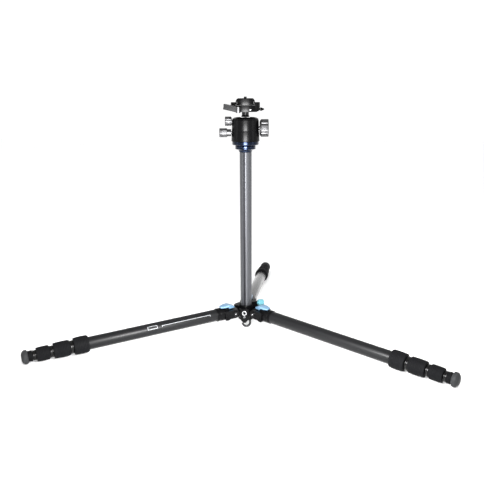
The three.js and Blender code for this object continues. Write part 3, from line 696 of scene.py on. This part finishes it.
def build_locks():
    pitch = bpy.context.scene.tripod_sizes.lock_rib_pitch / MM
    for index, (start, end, radius) in enumerate(LOCKS):
        sleeve_end = end - COLLAR_LENGTH
        bore = TUBE_RADII[index] + LOOSE
        collar = TUBE_RADII[index + 1] + 2.2
        middle, half = (start + sleeve_end) / 2 - 2, (sleeve_end - start) / 2 + 2

        def barrel(x):
            return radius - 0.9 * abs((x - middle) / half) ** 2.5

        outer = [(start, radius - 2.2), (start + 0.5, radius - 1.6), (start + 1.6, radius - 1.7),
                 (start + 1.9, barrel(start + 2) - 0.2)]
        rib = start + 2.6
        while rib + pitch < sleeve_end - 0.6:
            outer += [(rib, barrel(rib)), (rib + pitch * 0.66, barrel(rib + pitch * 0.66)),
                      (rib + pitch * 0.74, barrel(rib) - 0.35), (rib + pitch * 0.92, barrel(rib) - 0.35)]
            rib += pitch
        outer += [(rib, barrel(rib)), (sleeve_end - 0.5, barrel(sleeve_end) - 0.1),
                  (sleeve_end, barrel(sleeve_end) - 0.6)]
        ring = [(start, bore), *outer, (sleeve_end, collar - 0.4), (sleeve_end - 1.5, collar - 0.4),
                (sleeve_end - 1.5, bore), (start, bore)]
        sleeve = spun("lock_sleeve", ring, 0.2, 64, cuts=2)
        on_each_leg(sleeve, f"lock_{index + 1}", f"lock_{index + 1}_{{side}}",
                    "rubber", [f"twist_lock_{index + 1}_{{side}}"])
        inner = TUBE_RADII[index + 1] + LOOSE
        low = sleeve_end - 1.2
        back = max(low, TUBE_ENDS[index] + LOOSE)
        steps = spun("lock_collar", [
            (back, inner), (back, collar - 0.6), (low + 2.4, collar - 0.6), (low + 2.7, collar), (low + 3.9, collar),
            (low + 4.2, collar - 0.8), (low + 5.0, collar - 0.8), (low + 5.3, collar - 0.1),
            (end - 0.6, collar - 0.1),
            (end, collar - 0.7), (end, inner), (back, inner)], 0.25, 64, cuts=2)
        on_each_leg(steps, f"lock_collar_{index + 1}", f"lock_{index + 1}_{{side}}",
                    "gloss")


def build_feet():
    bore = TUBE_RADII[3] + LOOSE
    ribs = []
    rib = FOOT_START + 0.8
    while rib + 2.2 < FOOT_CONTACT - 8.4:
        ribs += [(rib, 10.6), (rib + 1.3, 10.6), (rib + 1.5, 10.1), (rib + 2.0, 10.1)]
        rib += 2.2
    neck = spun("foot_neck", [
        (FOOT_START, bore), (FOOT_START, 10.0), *ribs, (FOOT_CONTACT - 8.0, 10.4), (FOOT_CONTACT - 8.0, bore),
        (FOOT_START, bore)], 0.2, 64, cuts=2)
    on_each_leg(neck, "foot_neck", "section_4_{side}", "rubber")
    pad = spun("foot_pad", [
        (TUBE_ENDS[3] + LOOSE, 0), (TUBE_ENDS[3] + LOOSE, 9.9), (FOOT_CONTACT - 8.2, 10.2),
        (FOOT_CONTACT - 6.6, 12.9),
        (FOOT_CONTACT - 6.0, 13.5), (FOOT_CONTACT - 0.9, 13.5), (FOOT_CONTACT, 12.9), (FOOT_CONTACT + 1.2, 11.4),
        (FOOT_CONTACT + 2.3, 10.4), (FOOT_CONTACT + 3.6, 8.2), (FOOT_TIP, 5.4), (FOOT_TIP, 0)], 0.6)
    on_each_leg(pad, "foot_pad", "section_4_{side}", "foot", ["foot_{side}"])


# ---------------------------------------------------------------- crown
def build_crown():
    crown = spun("crown", [
        (-19, 0), (-19, 15.4), (-18.2, 16.2), (1, 16.2), (2, 15), (12.6, 15), (13.2, 14.4), (13.2, 0)], 0.5, 72, True)
    lug = [(8, -8.5), (26, -8.5), *arc(PIVOT_RADIUS, 0, 10, -60, 60, 10), (26, 8.5), (14, 5), (8, 5)]
    front = [(-12, 9), (-12, -6), (-8.5, -13), (-3, -20), (0, -20.6), (3, -20), (8.5, -13), (12, -6), (12, 9)]
    plan = [(10, -14), (17.5, -12.4), (BOSS_FACE, -8.8), (BOSS_FACE, 8.8), (17.5, 12.4), (10, 14)]
    for azimuth in LEG_AZIMUTHS:
        join(crown, slab("lug", lug, -10, 10, 0.0, turned("Z", azimuth) @ SIDEWAYS))
        boss = slab("boss", front, 10, 31.3, 1.5, turned("Z", 90) @ SIDEWAYS)
        combine(boss, slab("boss_plan", plan, -30, 30, 1.2), "INTERSECT")
        settle(boss, turned("Z", azimuth + 60))
        join(crown, boss)
    join(crown, block("knob_block", (10, 23), (-6.5, 6.5), (0, 17.5), turned("Z", COLUMN_KNOB_AZIMUTH)))
    drill(crown, 2.8, 10, 30, turned("Z", COLUMN_KNOB_AZIMUTH) @ moved(0, 0, COLUMN_KNOB_HEIGHT) @ UPRIGHT_TO_X)
    drill(crown, 13.1, -40, 40, NO_MOVE, 72)
    drill(crown, 14.6, -40, -4, NO_MOVE, 72)
    forward = turned("Z", FRONT)
    drill(crown, 4.0, 20.3, 31.3, forward @ moved(0, 0, PORT_HEIGHT) @ UPRIGHT_TO_X)
    drill(crown, 1.6, 20.3, 31.3, forward @ moved(0, 0, PORT_SCREW_HEIGHT) @ UPRIGHT_TO_X)
    passage = [(14.35, 15), (14.35, 11.2), (16.1, 0.3), *arc(PIVOT_RADIUS, 0, CHEEK_INNER, 178, 92, 16), (30, 15)]
    for azimuth in LEG_AZIMUTHS:
        drill(crown, BOLT_HOLE_RADIUS, -20, 20, turned("Z", azimuth) @ moved(PIVOT_RADIUS, 0, 0) @ UPRIGHT_TO_Y)
        combine(crown, slab("passage", passage, -9.2, 9.2, 0.0, turned("Z", azimuth) @ SIDEWAYS))
    soften(crown, softness())
    complete(crown, crown_place(), "crown", "black", ["crown"])


def build_port():
    port = spun("accessory_port", [
        (24.6, 2.9), (24.6, 3.7), (26.6, 3.7), (26.6, 5), (27.9, 5), (28.3, 4.6), (28.3, 3.3), (27.9, 2.9),
        (24.6, 2.9)], 0.15, 48)
    settle(port, moved(0, 0, PORT_HEIGHT))
    complete(port, crown_place(FRONT), "crown", "bright", ["accessory_port"])
    # Painted shade: a black lining in the port's bore and at its bottom darkens the hole.
    hole_shade = spun("port_liner", [
        (20.6, 0), (20.6, 3.6), (24.4, 3.6), (24.4, 2.8), (27.4, 2.8), (27.4, 2.3), (22.3, 2.3), (22.3, 0)], 0.1, 48)
    settle(hole_shade, moved(0, 0, PORT_HEIGHT))
    complete(hole_shade, crown_place(FRONT), "crown", "black")
    screw = spun("port_screw", [
        (20.8, 0), (20.8, 1.2), (26.6, 1.2), (26.6, 2.6), (27.3, 2.6), (27.8, 2.0), (27.8, 0)], 0.2, 40)
    combine(screw, socket_cutter(1.2, 26.8, 29, UPRIGHT_TO_X))
    settle(screw, moved(0, 0, PORT_SCREW_HEIGHT))
    complete(screw, crown_place(FRONT), "crown", "steel", ["port_screw"])


def build_column_knob():
    grip = slab("column_lock_knob", fluted(6.6, 0.8, 8), 28.5, 40.3)
    soften(grip, 0.7, 3, 50)
    join(grip, spun("neck", [(26.7, 0), (26.7, 3.7), (27.0, 4.0), (29, 4.0), (29, 0)], 0.1, 40, True))
    join(grip, rod("shank", 2.4, 15.2, 27))
    drill(grip, 3.2, 39.4, 42)
    settle(grip, moved(0, 0, COLUMN_KNOB_HEIGHT) @ UPRIGHT_TO_X)
    complete(grip, crown_place(COLUMN_KNOB_AZIMUTH), "column_knob", "turquoise", ["column_lock_knob"])


# ---------------------------------------------------------------- column
def column_outline():
    """Three gently curved faces with a rounded groove at each corner."""
    distance, curve, half_angle, depth = 11.3, 16.0, 11.0, 1.9
    points = []
    for face in range(3):
        groove = 265 + 120 * face
        for step in range(17):
            middle = math.radians(-60 + half_angle + (120 - 2 * half_angle) * step / 16)
            inset = curve - distance
            reach = -inset * math.cos(middle) + math.sqrt(curve ** 2 - (inset * math.sin(middle)) ** 2)
            direction = math.radians(groove + 60) + middle
            points.append((reach * math.cos(direction), reach * math.sin(direction)))
        floor = distance + 1 - depth
        for share in (-0.78, -0.4, 0.0, 0.4, 0.78):
            direction = math.radians(groove + 120 + share * half_angle)
            points.append((floor * math.cos(direction), floor * math.sin(direction)))
    return eased(points, 0.35, True, 2)


def build_column():
    column = slab("column", column_outline(), COLUMN_BOTTOM, COLUMN_TOP)
    drill(column, 9.6, COLUMN_BOTTOM - 5, COLUMN_TOP + 5, NO_MOVE, 64)
    complete(column, crown_place(), "column", "column", ["column_tube"], 25.0)
    cap = spun("column_cap", [
        (-20.4, 0), (-20.4, 11.2), (-19.4, 12.2), (-15.4, 12.2), (-15.0, 11.8), (-14.4, 11.8), (-14.0, 12.2),
        (-12.3, 12.2), (-12.3, 9.3), (-4, 9.3), (-4, 0)], 0.3, 64, True)
    drill(cap, 2.65, -30, -14, turned("Z", HOOK_AZIMUTH) @ moved(8.6, 0, 0))
    complete(cap, crown_place(), "column", "black", ["column_end_cap"])


def build_hook():
    wire, bend, shank, bottom = 2.35, 7.9, 8.6, -39.5
    centre = bottom + wire + bend
    clear_selection()
    bpy.ops.mesh.primitive_circle_add(
        vertices=24, radius=wire * MM, fill_type="NGON", location=(shank * MM, 0, HOOK_TOP * MM))
    hook = bpy.context.object
    hook.name = "bag_hook"
    bpy.ops.object.transform_apply(location=True, rotation=True, scale=True)
    bpy.ops.object.mode_set(mode="EDIT")
    bpy.ops.mesh.select_all(action="SELECT")
    bpy.ops.mesh.extrude_region_move(TRANSFORM_OT_translate={"value": (0, 0, (centre - HOOK_TOP) * MM)})
    bpy.ops.mesh.spin(
        steps=32, angle=math.radians(-172), center=((shank - bend) * MM, 0, centre * MM), axis=(0, 1, 0))
    close_up()
    soften(hook, 0.8, 3, 60)
    complete(hook, crown_place(HOOK_AZIMUTH), "hook", "hook", ["bag_hook"], 40.0)


def build_platform():
    platform = spun("column_platform", [
        (322, 0), (322, 9.3), (333.7, 9.3), (333.7, 12.6), (337.6, 13.9), (338.2, 14.6), (339.8, 19.9), (340.4, 20.5),
        (342.1, 20.5), (342.4, 20.2), (343.0, 20.2), (343.3, 20.5), (345.6, 20.5), (347.8, 19.5), (347.8, 0)],
        0.35, 72, True)
    drill(platform, 5, 335, 360)
    for azimuth in (255, 15, 135):
        drill(platform, 1.6, 18.5, 22, turned("Z", azimuth) @ moved(0, 0, PLATFORM_SCREW_HEIGHT) @ UPRIGHT_TO_X)
    complete(platform, crown_place(), "column", "blue", ["column_platform"])


# ---------------------------------------------------------------- ball head
def drop_notch():
    half = NOTCH_HALF_WIDTH
    outline = [(-half, 30), *arc(0, 0, half, 180, 360, 20), (half, 30)]
    return slab("drop_notch", outline, -60, 0, 0.0, moved(0, 0, BALL_CENTRE) @ SIDEWAYS)


def build_pan_base():
    base = spun("pan_base", [
        (348.1, 0), (348.1, 25.4), (349.2, 26.6), (351.1, 26.6), (351.4, 26.2), (352.1, 26.2), (352.4, 26.6),
        (354.4, 26.6), (354.9, 26.1), (354.9, 17), (361, 17), (361, 0)], 0.35, 72, True)
    drill(base, 5, 340, 356)
    for azimuth in (268, 28, 148):
        drill(base, 1.2, 24.6, 28, turned("Z", azimuth) @ moved(0, 0, BASE_SCREW_HEIGHT) @ UPRIGHT_TO_X)
    complete(base, head_place(), "column", "blue", ["pan_base"])


def build_housing():
    housing = spun("head_housing", [
        (HOUSING_BOTTOM, 17.3), (HOUSING_BOTTOM, 27.4), (HOUSING_BOTTOM + 0.6, 28.0), (374.9, 27.3), (375.3, 26.8),
        (376.2, 26.8), (376.6, 27.2), (HOUSING_SHOULDER - 0.7, 26.55), (HOUSING_SHOULDER, 25.9),
        (HOUSING_SHOULDER, 23), (387.6, 23), (387.6, 18.4), (361.3, 18.4), (361.3, 17.3), (HOUSING_BOTTOM, 17.3)],
        0.3, 96, True)
    combine(housing, drop_notch())
    drill(housing, 3.9, 15, 40, moved(0, 0, MAIN_KNOB_HEIGHT) @ UPRIGHT_TO_X)
    drill(housing, 2.6, -40, -20, moved(0, 0, FRICTION_KNOB_HEIGHT) @ UPRIGHT_TO_X)
    drill(housing, 2.9, -40, -15, moved(0, 0, PAN_KNOB_HEIGHT) @ UPRIGHT_TO_X)
    soften(housing, 0.35, 2, 50)
    complete(housing, head_place(), "head", "head_black", ["head_housing"])
    retainer = spun("ball_retainer", [
        (388, 17.9), (388, 22.7), (397.7, 22.7), (397.7, 26.2), (399.2, 25.8), (399.8, 25.2), (401.3, 22.7),
        (402.3, 19.4), (402.3, 18.8), (391, 17.1), (388, 17.9)], 0.2, 96, True)
    combine(retainer, drop_notch())
    complete(retainer, head_place(), "head", "head_black", ["ball_retainer"])


def fluted_grip(name, radius, depth, flutes, low, high, round_edge):
    grip = slab(name, fluted(radius, depth, flutes), low, high)
    return soften(grip, round_edge, 3, 50)


def build_main_knob():
    flutes = bpy.context.scene.tripod_sizes.main_knob_flutes
    knob = fluted_grip("main_knob", 17.5, 1.6, flutes, 30.6, 46, 1.3)
    join(knob, spun("knob_hub", [(28.3, 0), (28.3, 13.0), (29.4, 15.4), (30.8, 15.8), (30.8, 0)], 0.3, 48, True))
    join(knob, rod("knob_shank", 3.6, 19, 29))
    dish = spun("dish", [(45.0, 0), (45.0, 11.2), (47, 12.4), (47, 0)], 0.1, 64, True)
    combine(knob, dish)
    settle(knob, moved(0, 0, MAIN_KNOB_HEIGHT) @ UPRIGHT_TO_X)
    complete(knob, head_place(), "main_knob", "silver", ["main_knob"])


def build_small_knobs():
    knobs = (
        ("friction_knob", 9.2, 28.2, 40.4, 7.8, 27.0, 2.3, 23.4, FRICTION_KNOB_HEIGHT),
        ("pan_knob", 8.9, 36.4, 51.8, 7.0, 28.4, 2.6, 18.8, PAN_KNOB_HEIGHT),
    )
    for name, radius, low, high, collar, collar_low, shank, shank_low, height in knobs:
        knob = fluted_grip(name, radius, 0.9, 10, low, high, 1.0)
        join(knob, spun("knob_collar", [
            (collar_low, 0), (collar_low, collar - 0.4), (collar_low + 0.4, collar), (low + 1, collar), (low + 1, 0)],
            0.1, 48, True))
        join(knob, rod("knob_shank", shank, shank_low, collar_low + 1))
        combine(knob, spun("dish", [
            (high - 0.7, 0), (high - 0.7, radius - 3.6), (high + 1, radius - 2.9), (high + 1, 0)], 0.1, 48, True))
        settle(knob, moved(0, 0, height) @ turned("Y", -90))
        complete(knob, head_place(), name, "silver", [name])


def build_ball():
    clear_selection()
    bpy.ops.mesh.primitive_uv_sphere_add(
        segments=64, ring_count=32, radius=BALL_RADIUS * MM, location=(0, 0, BALL_CENTRE * MM))
    ball = bpy.context.object
    ball.name = "ball_joint"
    complete(ball, head_place(), "ball", "steel", ["ball"], 60.0)
    foot = BALL_CENTRE + 18.3
    stem = spun("ball_stem", [
        (foot, 0), (foot, 6.6), (foot + 0.9, 8.4), (foot + 1.8, 8.4), (foot + 3.6, 7), (CLAMP_BOTTOM - 1.6, 7),
        (CLAMP_BOTTOM - 0.3, 7.0), (CLAMP_BOTTOM - 0.3, 0)], 0.6, 64, True)
    complete(stem, head_place(), "stem", "gloss", ["stem"])


# ---------------------------------------------------------------- clamp and plate
def rounded_plan(half_width, half_depth, squareness=2.5, steps=96):
    """An oval whose long sides bulge gently."""
    points = []
    for index in range(steps):
        angle = FULL_TURN * index / steps
        x, y = math.cos(angle), math.sin(angle)
        points.append((
            half_width * math.copysign(abs(x) ** (2 / squareness), x),
            half_depth * math.copysign(abs(y) ** (2 / squareness), y)))
    return points


def build_clamp():
    body = slab("clamp", rounded_plan(29, 18, 2.05), CLAMP_BOTTOM, CLAMP_TOP)
    section = [
        (-29.5, CLAMP_FLOOR), (-29.5, 417), (-22, CLAMP_BOTTOM), (22, CLAMP_BOTTOM), (29.5, 416), (29.5, 430.4),
        (27.5, CLAMP_TOP), (16.1, CLAMP_TOP), (16.1, 430), (19, 427), (19, CLAMP_FLOOR)]
    combine(body, slab("section", section, -30, 30, 0.0, SIDEWAYS), "INTERSECT")
    ear = rod("ear", 5, 423.4, 424.9, moved(*LEVER_PIVOT), 48)
    join(ear, block("ear_arm", (-19, -9), (-25.5, -10), (423.4, 424.9)))
    join(body, ear)
    drill(body, 1.9, 400, 440, moved(*LEVER_PIVOT))
    drill(body, 2.3, 20, 40, moved(0, 0, RELEASE_PIN_HEIGHT) @ UPRIGHT_TO_X)
    drill(body, 4.1, 26.1, 40, moved(0, 0, RELEASE_PIN_HEIGHT) @ UPRIGHT_TO_X)
    drill(body, 1.6, -30, -10, moved(*KEEPER_SCREW_PLACE) @ UPRIGHT_TO_Y)
    soften(body, softness(), 3)
    complete(body, head_place(), "clamp", "head_black", ["clamp_body"])
    jaw = slab("jaw", rounded_plan(28.8, 17.6, 2.05), CLAMP_FLOOR + 0.3, CLAMP_TOP)
    jaw_section = [
        (-30, CLAMP_FLOOR + 0.3), (-19, CLAMP_FLOOR + 0.3), (-19, 427), (-16.1, 430), (-16.1, CLAMP_TOP),
        (-27.3, CLAMP_TOP), (-30, 429.8)]
    combine(jaw, slab("section", jaw_section, -30, 30, 0.0, SIDEWAYS), "INTERSECT")
    soften(jaw, softness(), 3)
    complete(jaw, head_place(), "jaw", "head_black", ["clamp_jaw"])


def build_lever():
    rim = 5.4
    section = [
        (-3.7, -rim), (3.7, -rim), (3.7, -4.4), (3.3, -4.0), (3.3, -1.3), (2.9, -1.0), (2.9, 1.0), (3.3, 1.3),
        (3.3, 4.0), (3.7, 4.4), (3.7, rim), (-3.7, rim), (-3.7, 4.2), (-2.4, 2.6), (-2.4, -2.6), (-3.7, -4.2)]
    bar = slab("clamp_lever", section, 0, 35, 0.25, SIDEWAYS)
    settle(bar, turned("Z", 90))
    settle(bar, turned("Y", -9.2))
    settle(bar, turned("Z", 142))
    settle(bar, moved(0, 0, 417.3))
    soften(bar, 0.5, 3, 50)
    join(bar, rod("eye", 4.6, 410.9, 421.6, NO_MOVE, 48))
    join(bar, rod("pin", 1.6, 421, 424.5))
    combine(bar, socket_cutter(1.8, 410, 412.2))
    settle(bar, moved(*LEVER_PIVOT))
    complete(bar, head_place(), "lever", "lever", ["clamp_lever"])


def build_clamp_fittings():
    face = -18.3
    screw = spun("keeper_screw", [
        (face - 1.2, 0), (face - 1.2, 1.4), (face, 1.9), (face, 1.2), (-11, 1.2), (-11, 0)], 0.1, 40)
    combine(screw, socket_cutter(1.0, face - 2, face - 0.5, UPRIGHT_TO_X))
    settle(screw, moved(*KEEPER_SCREW_PLACE) @ turned("Z", 90))
    complete(screw, head_place(), "clamp", "steel", ["keeper_screw"])
    pin = spun("plate_release_pin", [
        (24, 0), (24, 2), (29.6, 2), (29.6, 3.5), (30.6, 3.7), (34.4, 2.2), (36.6, 1.4), (37.3, 0.7), (37.3, 0)],
        0.2, 40)
    settle(pin, moved(0, 0, RELEASE_PIN_HEIGHT))
    complete(pin, head_place(), "release_pin", "head_black", ["plate_release_pin"])


def build_plate():
    half = [(18.5, 425.6), (18.5, 427), (15.6, 430), (15.6, 431.7), (18.8, 431.7), (18.8, 433.8), (16.2, PLATE_TOP)]
    outline = half + [(-x, z) for x, z in reversed(half)]
    plate = slab("camera_plate", outline, -19, 19, 0.0, SIDEWAYS)
    combine(plate, slab("plate_plan", rounded_plan(27, 19, 2.2), 420, 440), "INTERSECT")
    drill(plate, 3.5, 400, 460)
    drill(plate, 8.3, 400, 430, NO_MOVE, 48)
    soften(plate, 0.5, 3)
    complete(plate, head_place(), "plate", "head_black", ["quick_release_plate"])
    pad = block("plate_pad", (-14.6, 14.6), (-17.2, 17.2), (438.05, 438.8))
    combine(pad, slab("pad_plan", rounded_plan(25.5, 17.3, 2.2), 430, 440), "INTERSECT")
    drill(pad, 5.5, 400, 460, NO_MOVE, 48)
    for x in (-12, -10, -8, 8, 10, 12):
        combine(pad, block("pad_groove", (x - 0.3, x + 0.3), (-16, 16), (438.5, 440)))
    complete(pad, head_place(), "plate", "rubber", ["plate_pad"])
    thread = []
    height = 432.5
    while height < 441.0:
        thread += [(height, 3.1), (height + 0.3, 3.1), (height + 0.55, 2.6)]
        height += 0.85
    screw = spun("camera_screw", [
        (426.2, 0), (426.2, 7.4), (426.7, 7.9), (429.1, 7.9), (429.6, 7.4), (429.6, 3.1), *thread,
        (441.3, 3.0), (442, 2.4), (442, 0)], 0.1, 48, True, 2)
    combine(screw, block("coin_slot", (-6.5, 6.5), (-0.8, 0.8), (425, 427.4)))
    complete(screw, head_place(), "camera_screw", "steel", ["camera_screw"])


def build_hidden():
    """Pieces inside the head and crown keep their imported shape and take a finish."""
    for name, key in (("head_stud", "steel"), ("ball_seat", "nylon"), ("column_bushing", "nylon")):
        node = frame["nodes"][name]
        node.data.materials.clear()
        node.data.materials.append(finish(key))


# ---------------------------------------------------------------- stage
def area_light(name, place, target, size, power):
    clear_selection()
    bpy.ops.object.light_add(type="AREA", location=place)
    light = bpy.context.object
    light.name = name
    light.data.shape = "RECTANGLE"
    light.data.size, light.data.size_y = size
    light.data.energy = power
    light.rotation_euler = (Vector(target) - Vector(place)).to_track_quat("-Z", "Y").to_euler()


def build_stage():
    clear_selection()
    bpy.ops.mesh.primitive_plane_add(size=FLOOR_SIZE)
    floor = bpy.context.object
    floor.name = "floor"
    material, tree, surface, mapping = shader("pale_floor")
    mottled = spread(tree, noise(tree, mapping.outputs["Vector"], 6.0, 2.0), 0, 1)
    set_surface(tree, surface, Base_Color=tint(tree, mottled, (1.0, 1.0, 1.0), 0.94, 0.96), Roughness=0.9,
                Specular_IOR_Level=0.1)
    floor.data.materials.append(material)
    world = bpy.context.scene.world or bpy.data.worlds.new("World")
    bpy.context.scene.world = world
    world.use_nodes = True
    world.node_tree.nodes["Background"].inputs["Color"].default_value = (1.0, 1.0, 1.0, 1.0)
    world.node_tree.nodes["Background"].inputs["Strength"].default_value = SKY_STRENGTH
    for name, place, target, size, power in AREA_LIGHTS:
        area_light(name, place, target, size, power)
    clear_selection()
    bpy.ops.object.camera_add(location=CAMERA_PLACE)
    camera = bpy.context.object
    camera.matrix_world = (
        Matrix.Translation(CAMERA_PLACE) @ turned("Z", CAMERA_HEADING) @ turned("X", CAMERA_PITCH)
        @ turned("Z", CAMERA_ROLL))
    camera.data.lens = CAMERA_LENS
    camera.data.sensor_width = SENSOR_WIDTH
    camera.data.dof.use_dof = False
    bpy.context.scene.camera = camera
    bpy.context.scene.view_settings.view_transform = "Standard"


# ---------------------------------------------------------------- the add-on
class BuildStep:
    """What all the building operators share."""

    bl_options = {"REGISTER", "UNDO"}


class TRIPOD_OT_castings(BuildStep, bpy.types.Operator):
    """Builds the forked casting at the top of each leg"""

    bl_idname = "tripod.castings"
    bl_label = "Leg castings"

    def execute(self, context):
        build_castings()
        return {"FINISHED"}


class TRIPOD_OT_latches(BuildStep, bpy.types.Operator):
    """Builds the sky blue angle latch of each leg"""

    bl_idname = "tripod.latches"
    bl_label = "Angle latches"

    def execute(self, context):
        build_latches()
        return {"FINISHED"}


class TRIPOD_OT_bolts(BuildStep, bpy.types.Operator):
    """Builds the bolt that each leg turns on"""

    bl_idname = "tripod.bolts"
    bl_label = "Pivot bolts"

    def execute(self, context):
        build_bolts()
        return {"FINISHED"}


class TRIPOD_OT_tubes(BuildStep, bpy.types.Operator):
    """Builds the four tubes of each leg"""

    bl_idname = "tripod.tubes"
    bl_label = "Leg tubes"

    def execute(self, context):
        build_tubes()
        return {"FINISHED"}


class TRIPOD_OT_locks(BuildStep, bpy.types.Operator):
    """Builds the ribbed sleeves and stepped collars between the leg tubes"""

    bl_idname = "tripod.locks"
    bl_label = "Twist locks"

    def execute(self, context):
        build_locks()
        return {"FINISHED"}


class TRIPOD_OT_feet(BuildStep, bpy.types.Operator):
    """Builds the ribbed neck and pad of each foot"""

    bl_idname = "tripod.feet"
    bl_label = "Feet"

    def execute(self, context):
        build_feet()
        return {"FINISHED"}


class TRIPOD_OT_crown(BuildStep, bpy.types.Operator):
    """Builds the casting that carries the legs and the column"""

    bl_idname = "tripod.crown"
    bl_label = "Crown"

    def execute(self, context):
        build_crown()
        return {"FINISHED"}


class TRIPOD_OT_port(BuildStep, bpy.types.Operator):
    """Builds the front port and its small screw"""

    bl_idname = "tripod.port"
    bl_label = "Accessory port"

    def execute(self, context):
        build_port()
        return {"FINISHED"}


class TRIPOD_OT_column_knob(BuildStep, bpy.types.Operator):
    """Builds the turquoise column lock knob"""

    bl_idname = "tripod.column_knob"
    bl_label = "Column knob"

    def execute(self, context):
        build_column_knob()
        return {"FINISHED"}


class TRIPOD_OT_column(BuildStep, bpy.types.Operator):
    """Builds the grooved centre column and its end cap"""

    bl_idname = "tripod.column"
    bl_label = "Column"

    def execute(self, context):
        build_column()
        return {"FINISHED"}


class TRIPOD_OT_hook(BuildStep, bpy.types.Operator):
    """Builds the hook under the column"""

    bl_idname = "tripod.hook"
    bl_label = "Bag hook"

    def execute(self, context):
        build_hook()
        return {"FINISHED"}


class TRIPOD_OT_platform(BuildStep, bpy.types.Operator):
    """Builds the flared platform on top of the column"""

    bl_idname = "tripod.platform"
    bl_label = "Platform"

    def execute(self, context):
        build_platform()
        return {"FINISHED"}


class TRIPOD_OT_pan_base(BuildStep, bpy.types.Operator):
    """Builds the deep blue disc that the head turns on"""

    bl_idname = "tripod.pan_base"
    bl_label = "Pan base"

    def execute(self, context):
        build_pan_base()
        return {"FINISHED"}


class TRIPOD_OT_housing(BuildStep, bpy.types.Operator):
    """Builds the housing of the ball head and its retaining ring"""

    bl_idname = "tripod.housing"
    bl_label = "Head housing"

    def execute(self, context):
        build_housing()
        return {"FINISHED"}


class TRIPOD_OT_main_knob(BuildStep, bpy.types.Operator):
    """Builds the large fluted knob"""

    bl_idname = "tripod.main_knob"
    bl_label = "Main knob"

    def execute(self, context):
        build_main_knob()
        return {"FINISHED"}


class TRIPOD_OT_small_knobs(BuildStep, bpy.types.Operator):
    """Builds the friction and pan knobs"""

    bl_idname = "tripod.small_knobs"
    bl_label = "Small knobs"

    def execute(self, context):
        build_small_knobs()
        return {"FINISHED"}


class TRIPOD_OT_ball(BuildStep, bpy.types.Operator):
    """Builds the ball and its stem"""

    bl_idname = "tripod.ball"
    bl_label = "Ball and stem"

    def execute(self, context):
        build_ball()
        return {"FINISHED"}


class TRIPOD_OT_clamp(BuildStep, bpy.types.Operator):
    """Builds the clamp body and its jaw"""

    bl_idname = "tripod.clamp"
    bl_label = "Clamp"

    def execute(self, context):
        build_clamp()
        return {"FINISHED"}


class TRIPOD_OT_lever(BuildStep, bpy.types.Operator):
    """Builds the waisted lever"""

    bl_idname = "tripod.lever"
    bl_label = "Clamp lever"

    def execute(self, context):
        build_lever()
        return {"FINISHED"}


class TRIPOD_OT_fittings(BuildStep, bpy.types.Operator):
    """Builds the keeper screw and the release pin"""

    bl_idname = "tripod.fittings"
    bl_label = "Clamp fittings"

    def execute(self, context):
        build_clamp_fittings()
        return {"FINISHED"}


class TRIPOD_OT_plate(BuildStep, bpy.types.Operator):
    """Builds the quick release plate, its pad and its camera screw"""

    bl_idname = "tripod.plate"
    bl_label = "Plate"

    def execute(self, context):
        build_plate()
        return {"FINISHED"}


class TRIPOD_OT_hidden(BuildStep, bpy.types.Operator):
    """Gives the parts inside the head and crown their finishes"""

    bl_idname = "tripod.hidden"
    bl_label = "Hidden parts"

    def execute(self, context):
        build_hidden()
        return {"FINISHED"}


class TRIPOD_OT_stage(BuildStep, bpy.types.Operator):
    """Builds the floor, the light and the camera"""

    bl_idname = "tripod.stage"
    bl_label = "Stage"

    def execute(self, context):
        build_stage()
        return {"FINISHED"}


# In the order in which they are written above, which is also the order in which they run
OPERATORS = tuple(BuildStep.__subclasses__())


class TRIPOD_PT_panel(bpy.types.Panel):
    """The tripod's settings and the steps that build it"""

    bl_idname = "TRIPOD_PT_panel"
    bl_label = "Travel Tripod"
    bl_space_type = "VIEW_3D"
    bl_region_type = "UI"
    bl_category = "Tripod"

    def draw(self, context):
        for settings in (context.scene.tripod_sizes, context.scene.tripod_colours):
            box = self.layout.box()
            for name in settings.__annotations__:
                box.prop(settings, name)
        column = self.layout.column(align=True)
        for operator in OPERATORS:
            column.operator(operator.bl_idname)


CLASSES = (TripodColours, TripodSizes, *OPERATORS, TRIPOD_PT_panel)


def register():
    for item in CLASSES:
        bpy.utils.register_class(item)
    bpy.types.Scene.tripod_colours = bpy.props.PointerProperty(type=TripodColours)
    bpy.types.Scene.tripod_sizes = bpy.props.PointerProperty(type=TripodSizes)


def unregister():
    del bpy.types.Scene.tripod_sizes
    del bpy.types.Scene.tripod_colours
    for item in reversed(CLASSES):
        bpy.utils.unregister_class(item)


def main():
    register()
    for operator in OPERATORS:
        group, name = operator.bl_idname.split(".")
        getattr(getattr(bpy.ops, group), name)()


if __name__ == "__main__":
    main()
